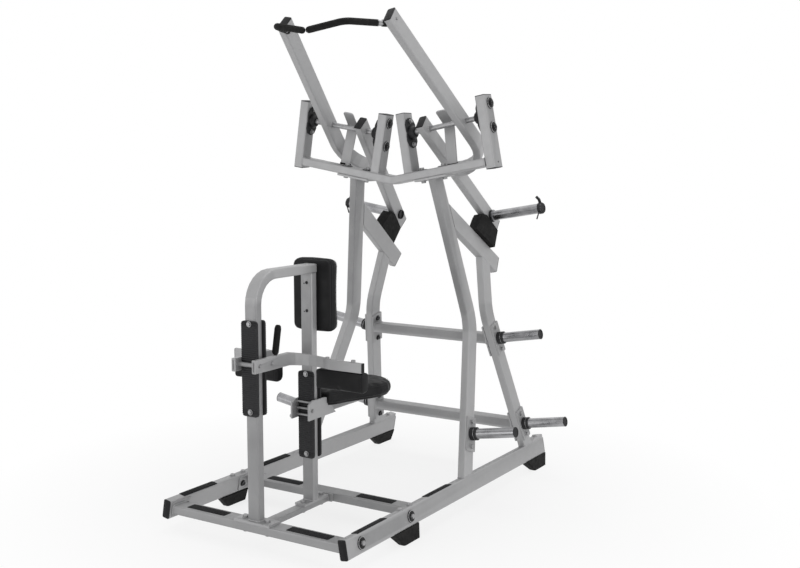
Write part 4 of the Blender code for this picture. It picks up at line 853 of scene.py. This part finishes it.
# seat
SEAT_LOW = 0.5403
SEAT_TUBE = (0.050, 0.040)
SEAT_TUBE_END = (0.840, 0.520)
SEAT_SIDE_X = 0.051
SEAT_BOLT = (0.375, 0.538)
SEAT_PIN = (0.362, 0.507)
SEAT_PIN_HEX = (0.013, 0.009)
where = np.array([0, *SEAT_TUBE_END])
add("seat_plug", "seat", PLASTIC, plug(where, Y_AXIS, X_AXIS, *SEAT_TUBE))
for side in (1, -1):
    where = np.array([side * SEAT_SIDE_X, *SEAT_BOLT])
    fasten("seat_bolts", "seat", where, side * X_AXIS, SMALL_HEX, SMALL_WASHER)
where = np.array([-SEAT_SIDE_X, *SEAT_PIN])
fasten("seat_bolts", "seat", where, -X_AXIS, SEAT_PIN_HEX, SMALL_WASHER)

# thigh hold-down
THIGH_Z = 0.803
THIGH_SIDE_X = 0.064
THIGH_PIN_Y = (0.0034, 0.0826)
THIGH_PAD_HEX = (0.016, 0.010)
THIGH_PAD_WASHER = 0.0095
THIGH_BAR_Y = 0.335
THIGH_BAR_TOP = 0.7895
THIGH_BAR_TIP = 0.347
THIGH_FRONT = (0.054, -0.021, 0.802)
THIGH_BAR_END = (0.020, 0.043)
THIGH_BAR_FRONT = (0.020, 0.056)
THIGH_PLUG = (0.004, 0.004)     # thickness and corner radius
THIGH_PAD_BOLTS_X = (0.165, 0.300)
for side in (1, -1):
    for y in THIGH_PIN_Y:
        where = np.array([side * THIGH_SIDE_X, y, THIGH_Z])
        fasten("thigh_bolts", "thigh_hold_down", where, side * X_AXIS, SMALL_HEX, SMALL_WASHER)
    for x in THIGH_PAD_BOLTS_X:
        where = np.array([side * x, THIGH_BAR_Y, THIGH_BAR_TOP])
        fasten("thigh_bolts", "thigh_hold_down", where, Z_AXIS, THIGH_PAD_HEX, THIGH_PAD_WASHER)
    end = np.array([side * THIGH_BAR_TIP, THIGH_BAR_Y, THIGH_BAR_TOP - THIGH_BAR_END[1] / 2])
    add("thigh_plugs", "thigh_hold_down", PLASTIC,
        plug(end, side * X_AXIS, Y_AXIS, *THIGH_BAR_END, *THIGH_PLUG))
    front = np.array([side * THIGH_FRONT[0], *THIGH_FRONT[1:]])
    add("thigh_end_caps", "thigh_hold_down", PAINT,
        plug(front, -Y_AXIS, X_AXIS, *THIGH_BAR_FRONT, *THIGH_PLUG))

for (name, body, material), bodies in trims.items():
    piece(name, bodies, material, body)


# face colours of CAD nodes that carry more than one finish
def tint(node, material, rule):
    """Gives the faces whose centre passes the rule another finish."""
    mesh = frame["nodes"][node].data
    mesh.materials.append(material)
    number = len(mesh.materials) - 1
    for face in mesh.polygons:
        if rule(np.array(face.center) + Y_AXIS * ORIGIN_Y):
            face.material_index = number


for side, label in SIDES:
    out = side_axes(side)[0]
    face = LEG_WIDE / 2 + GAP + PLATE_THICK + 0.0002
    origin = side_point(side, 0, 0, 0)
    for place in ("upper", "lower", "front"):
        tint(label + "_" + place + "_storage_horn", PAINT, lambda p: np.dot(p - origin, out) < face)


# upholstery
CLOTH_FRAMES = 20


def coordinates(mesh):
    """The mesh's vertices as rows of x, y and z."""
    flat = np.empty(3 * len(mesh.vertices))
    mesh.vertices.foreach_get("co", flat)
    return flat.reshape(-1, 3)


def evaluated_mesh(made):
    """A copy of the object's mesh with its modifiers applied."""
    return bpy.data.meshes.new_from_object(made.evaluated_get(bpy.context.evaluated_depsgraph_get()))


def swap_mesh(made, mesh):
    old = made.data
    made.modifiers.clear()
    made.data = mesh
    bpy.data.meshes.remove(old)


def remeshed(made, voxel):
    """Rebuilds the mesh from even voxels, so that the cloth has even cells."""
    modifier = made.modifiers.new("voxels", "REMESH")
    modifier.mode = "VOXEL"
    modifier.voxel_size = voxel
    swap_mesh(made, evaluated_mesh(made))


def blown_up(made, held, most):
    """Lets the cover swell over its foam for some frames of cloth, then keeps it as plain mesh."""
    rest = coordinates(made.data)
    group = made.vertex_groups.new(name="held")
    group.add([i for i, p in enumerate(rest) if held(p)], 1.0, "REPLACE")
    cloth = made.modifiers.new("cover", "CLOTH")
    cloth.settings.quality = 5
    cloth.settings.mass = 0.3
    cloth.settings.tension_stiffness = 20
    cloth.settings.compression_stiffness = 20
    cloth.settings.shear_stiffness = 8
    cloth.settings.bending_stiffness = 6.0
    cloth.settings.use_pressure = True
    cloth.settings.uniform_pressure_force = 4.0
    cloth.settings.vertex_group_mass = "held"
    cloth.settings.effector_weights.gravity = 0
    cloth.point_cache.frame_start = 1
    cloth.point_cache.frame_end = CLOTH_FRAMES
    for number in range(1, CLOTH_FRAMES + 1):
        bpy.context.scene.frame_set(number)
    moved = coordinates(evaluated_mesh(made))
    made.modifiers.clear()
    made.vertex_groups.clear()
    bpy.context.scene.frame_set(1)
    shift = moved - rest
    length = np.linalg.norm(shift, axis=1, keepdims=True)
    shift *= np.minimum(1.0, most / np.maximum(length, 1e-9))
    made.data.vertices.foreach_set("co", (rest + shift).ravel())
    made.data.update()


def cushion(name, loops, body, node, held, most, seams, voxel=0.005):
    """A cover over foam: remeshed, swollen by cloth, subdivided, then drawn in along its seams."""
    made = piece(name, [loft(loops)], VINYL, body)
    made.parent = None
    remeshed(made, voxel)
    blown_up(made, held, most)
    modifier = made.modifiers.new("finer", "SUBSURF")
    modifier.levels = 1
    modifier.render_levels = 1
    swap_mesh(made, evaluated_mesh(made))
    made.data.shade_smooth()
    draw_in(made, seams)
    made.data.materials.clear()
    made.data.materials.append(VINYL)
    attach(made, body)
    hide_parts(node)
    for number, seam in enumerate(seams):
        sew(name + "_seam_" + str(number + 1), made, seam, body)
    return made


def draw_in(made, seams):
    """Pulls the cover in along each seam plane (point, normal, depth, width)."""
    points = coordinates(made.data)
    normals = np.array([v.normal for v in made.data.vertices])
    for point, normal, depth, width in seams:
        away = np.abs((points - point) @ normal)
        flat = 1.0 - np.abs(normals @ normal) ** 2
        points -= normals * (depth * flat * np.exp(-(away / width) ** 2))[:, None]
    made.data.vertices.foreach_set("co", points.ravel())
    made.data.update()


def seam_path(made, point, normal, step=0.006):
    """The line where a plane cuts the cover, as evenly spaced points with their outward directions."""
    bm = bmesh.new()
    bm.from_mesh(made.data)
    cut = bmesh.ops.bisect_plane(bm, geom=bm.verts[:] + bm.edges[:] + bm.faces[:], dist=1e-6,
                                 plane_co=tuple(point), plane_no=tuple(normal))
    edges_cut = [g for g in cut["geom_cut"] if isinstance(g, bmesh.types.BMEdge)]
    middle = np.mean([np.array(v.co) for e in edges_cut for v in e.verts], axis=0)
    normal, u, v = square_axes(normal)
    polar = []
    for edge in edges_cut:
        for vert in edge.verts:
            d = np.array(vert.co) - middle
            polar.append((np.arctan2(np.dot(d, v), np.dot(d, u)), tuple(vert.co)))
    bm.free()
    polar.sort()
    line = [np.array(p) for angle, p in polar]
    smooth = [np.mean([line[(i + k) % len(line)] for k in range(-4, 5)], axis=0) for i in range(len(line))]
    path = [smooth[0]]
    for p in smooth:
        if np.linalg.norm(p - path[-1]) >= step:
            path.append(p)
    return path, middle


# a stitch as (place along it, radius)
STITCH = ((0.0, 0.0002), (0.0008, 0.0005), (0.0032, 0.0005), (0.0040, 0.0002))
STITCH_BESIDE = 0.0050
WELT_RADIUS = 0.0017


def sew(name, made, seam, body):
    """A welt cord laid in the seam and a row of stitches beside it."""
    point, normal, depth, width = seam
    path, middle = seam_path(made, point, normal)
    count = len(path)
    rings = []
    stitches = []
    for i, p in enumerate(path):
        aim = unit(path[(i + 1) % count] - path[i - 1])
        outward = unit(np.cross(aim, normal))
        if np.dot(outward, p - middle) < 0:
            outward = -outward
        rings.append(placed(circle(WELT_RADIUS, 8), p + outward * 0.0004, outward, normal))
        start = p + normal * STITCH_BESIDE + outward * (depth * 0.35)
        stitches.append(loft([placed(circle(size, 6), start + aim * along + outward * size, outward, normal)
                              for along, size in STITCH]))
    piece(name + "_welt", [ring_loft(rings)], VINYL, body, 60)
    piece(name + "_stitches", stitches, VINYL, body, 60)


def inset(outline, amount):
    """A closed outline drawn in by amount, with its corners mitred."""
    pts = [np.array(p, float) for p in outline]
    moved = []
    for i, b in enumerate(pts):
        before = unit(b - pts[i - 1])
        after = unit(pts[(i + 1) % len(pts)] - b)
        left = np.array([-before[1], before[0]])
        n = unit(left + np.array([-after[1], after[0]]))
        moved.append(tuple(b + n * amount / max(0.5, np.dot(n, left))))
    return moved


def pad_loops(outline, board, rises, place, smaller):
    """Loops of an upholstered pad as in the CAD, drawn in a little so that it can swell."""
    board_thick, board_in, thick, crown = board
    loops = [[place(a, b, h) for a, b in inset(outline, board_in)] for h in (0.0005, board_thick)]
    for share, draw in rises:
        high = board_thick + (thick - smaller) * share
        loops.append([place(a, b, high) for a, b in inset(outline, draw + smaller)])
    last = inset(outline, rises[-1][1] + smaller)
    middle = np.mean(last, axis=0)
    for share in (0.62, 0.28):
        shrunk = [middle + (np.array(p) - middle) * share for p in last]
        high = board_thick + thick - smaller + crown * (1 - share ** 2)
        loops.append([place(a, b, high) for a, b in shrunk])
    return loops


COVER_SMALLER = 0.003
COVER_SWELL = 0.0038
SEAM_WIDE = 0.0030

# boards are (thickness, inset, foam, crown); sides are (share of the foam's height, inset)
SEAT_OUTLINE = ((0.478, 0.066), (0.520, 0.090), (0.580, 0.106), (0.640, 0.129), (0.700, 0.158),
                (0.760, 0.174), (0.818, 0.173), (0.870, 0.153), (0.910, 0.110), (0.931, 0.051))
SEAT_BOARD = (0.012, 0.014, 0.056, 0.007)
SEAT_SIDES = ((0.0, 0.010), (0.10, 0.002), (0.35, 0.0), (0.70, 0.001), (0.90, 0.008), (0.985, 0.020))
outline = [(w, y) for y, w in SEAT_OUTLINE] + [(-w, y) for y, w in reversed(SEAT_OUTLINE)]
loops = pad_loops(outline, SEAT_BOARD, SEAT_SIDES,
                  lambda a, b, h: np.array([a, b, SEAT_LOW + h]), COVER_SMALLER)
cushion("seat_pad", loops, "seat", "seat_cushion", lambda p: p[2] < SEAT_LOW + 0.016, COVER_SWELL,
        ((np.array([0, 0, SEAT_LOW + 0.054]), Z_AXIS, 0.0009, SEAM_WIDE),
         (np.array([0, 0, SEAT_LOW + 0.017]), Z_AXIS, 0.0012, SEAM_WIDE)))

CHEST_HALF = 0.110
CHEST_Z = (0.880, 1.212)
CHEST_BACK = 0.4453
CHEST_BOARD = (0.010, 0.008, 0.060, 0.006)
CHEST_SIDES = ((0.0, 0.008), (0.10, 0.002), (0.35, 0.0), (0.62, 0.002), (0.84, 0.009), (0.96, 0.022))
chest_z = sum(CHEST_Z) / 2
outline = rounded(2 * CHEST_HALF, CHEST_Z[1] - CHEST_Z[0], 0.034)
loops = pad_loops(outline, CHEST_BOARD, CHEST_SIDES,
                  lambda a, b, h: np.array([a, CHEST_BACK + h, chest_z + b]), COVER_SMALLER)
cushion("chest_cushion", loops, "frame", "chest_pad", lambda p: p[1] < CHEST_BACK + 0.013, COVER_SWELL,
        ((np.array([0, CHEST_BACK + 0.014, chest_z]), Y_AXIS, 0.0012, SEAM_WIDE),
         (np.array([0, CHEST_BACK + 0.054, chest_z]), Y_AXIS, 0.0009, SEAM_WIDE)))


def thigh_section():
    """(y, z) outline of a thigh pad: flat front and a generous round at the lower back."""
    section = []
    corners = ((0.375, 0.7462, -1, -1, 0.008, 0.0, 3), (0.325, 0.7462, 1, -1, 0.006, 0.5, 3),
               (0.325, 0.657, 1, 1, 0.010, 1.0, 4), (0.375, 0.657, -1, 1, 0.028, 1.5, 6))
    for y, z, way_y, way_z, radius, start, count in corners:
        for k in range(count):
            angle = pi * (start + 0.5 * k / (count - 1))
            section.append((y + way_y * radius + radius * cos(angle),
                            z + way_z * radius + radius * sin(angle)))
    return section


THIGH_SEAMS = (0.119, 0.341)
THIGH_LOOPS = ((0.107, 0.84), (0.111, 0.93), (THIGH_SEAMS[0], 0.965), (THIGH_SEAMS[1], 0.965),
               (0.349, 0.93), (0.353, 0.84))
THIGH_HELD = 0.738
section = np.array(thigh_section())
middle = section.mean(axis=0)
for side, label in SIDES:
    loops = []
    for x, share in THIGH_LOOPS:
        loops.append([np.array([side * x, *(middle + (p - middle) * share)]) for p in section])
    cushion(label + "_thigh_cushion", loops, "thigh_hold_down", label + "_thigh_pad",
            lambda p: p[2] > THIGH_HELD, 0.004,
            [(np.array([side * x, 0.35, 0.70]), X_AXIS, 0.0016, SEAM_WIDE) for x in THIGH_SEAMS], 0.004)


# camera, floor and lights
SENSOR = 36.0
PHOTO_WIDE = 800
FOCAL_PIXELS = 1077.9     # focal length in the photograph's pixels
CAMERA_DOWN = radians(6.87)
CAMERA_TURN = radians(32.08)
camera_data = bpy.data.cameras.new("camera")
camera_data.sensor_width = SENSOR
camera_data.lens = FOCAL_PIXELS / PHOTO_WIDE * SENSOR
camera_data.shift_x = 0.0002
camera_data.shift_y = 0.0011
camera = linked("camera", camera_data)
camera.location = (2.8587, -3.3752 - ORIGIN_Y, 1.6635)
camera.rotation_euler = (pi / 2 - CAMERA_DOWN, 0.0, CAMERA_TURN)
bpy.context.scene.camera = camera


def seen_rays(tree):
    """1 for camera, mirror and glass rays, 0 for the rays that light the object."""
    path = tree.nodes.new("ShaderNodeLightPath")
    total = path.outputs["Is Camera Ray"]
    for kind in ("Is Glossy Ray", "Is Transmission Ray"):
        most = tree.nodes.new("ShaderNodeMath")
        most.operation = "MAXIMUM"
        tree.links.new(total, most.inputs[0])
        tree.links.new(path.outputs[kind], most.inputs[1])
        total = most.outputs[0]
    return total


def floor_material():
    """Near-white floor that keeps the object's shadow and fades into the white backdrop."""
    made, tree, shader = blank("studio_floor", (0.90, 0.90, 0.90), 0.0, 0.9, 0.0)
    glow = tree.nodes.new("ShaderNodeEmission")
    glow.inputs["Color"].default_value = (1.0, 1.0, 1.0, 1.0)
    place = tree.nodes.new("ShaderNodeTexCoord")
    length = tree.nodes.new("ShaderNodeVectorMath")
    length.operation = "LENGTH"
    tree.links.new(place.outputs["Object"], length.inputs[0])
    fade = span(tree, length.outputs["Value"], 0.78, 1.0, 0.6, 2.0)
    weight = tree.nodes.new("ShaderNodeMath")
    weight.operation = "MULTIPLY"
    tree.links.new(fade, weight.inputs[0])
    tree.links.new(seen_rays(tree), weight.inputs[1])
    blend = tree.nodes.new("ShaderNodeMixShader")
    tree.links.new(weight.outputs[0], blend.inputs[0])
    tree.links.new(shader.outputs[0], blend.inputs[1])
    tree.links.new(glow.outputs[0], blend.inputs[2])
    tree.links.new(blend.outputs[0], tree.nodes["Material Output"].inputs["Surface"])
    return made


FLOOR_RINGS = (0.4, 1.0, 2.0, 5.0, 40.0)
FLOOR_SIDES = 96


def studio_floor():
    """A flat disc of rings round the origin, which reaches far behind the object."""
    loops = [placed(circle(radius, FLOOR_SIDES), np.zeros(3), X_AXIS, Y_AXIS) for radius in FLOOR_RINGS]
    points, faces = loft(loops, False)
    faces.append(tuple(range(FLOOR_SIDES)))
    mesh = bpy.data.meshes.new("studio_floor")
    mesh.from_pydata([tuple(p) for p in points], [], faces)
    mesh.materials.append(floor_material())
    linked("studio_floor", mesh)


studio_floor()

world = bpy.data.worlds.new("studio")
bpy.context.scene.world = world
world.use_nodes = True
tree = world.node_tree
background = tree.nodes["Background"]
tree.links.new(span(tree, seen_rays(tree), 0.59, 1.0, 0.0, 1.0), background.inputs["Strength"])
background.inputs["Color"].default_value = (1.0, 1.0, 1.0, 1.0)


def softbox(name, where, towards, size, power):
    """A round lamp that is turned towards a point."""
    light = bpy.data.lights.new(name, "AREA")
    light.shape = "DISK"
    light.size = size
    light.energy = power
    made = linked(name, light)
    made.location = where
    aim = Vector(towards) - made.location
    made.rotation_euler = aim.to_track_quat("-Z", "Y").to_euler()


CENTRE = (0.0, 0.0, 0.8)
softbox("overhead", (0.2, 0.7, 5.2), CENTRE, 2.6, 34.0)
softbox("front_right", (5.2, -1.5, 1.3), CENTRE, 2.5, 46.0)
softbox("front_left", (-2.2, -4.6, 1.0), CENTRE, 2.5, 23.0)

bpy.context.scene.view_settings.view_transform = "Standard"
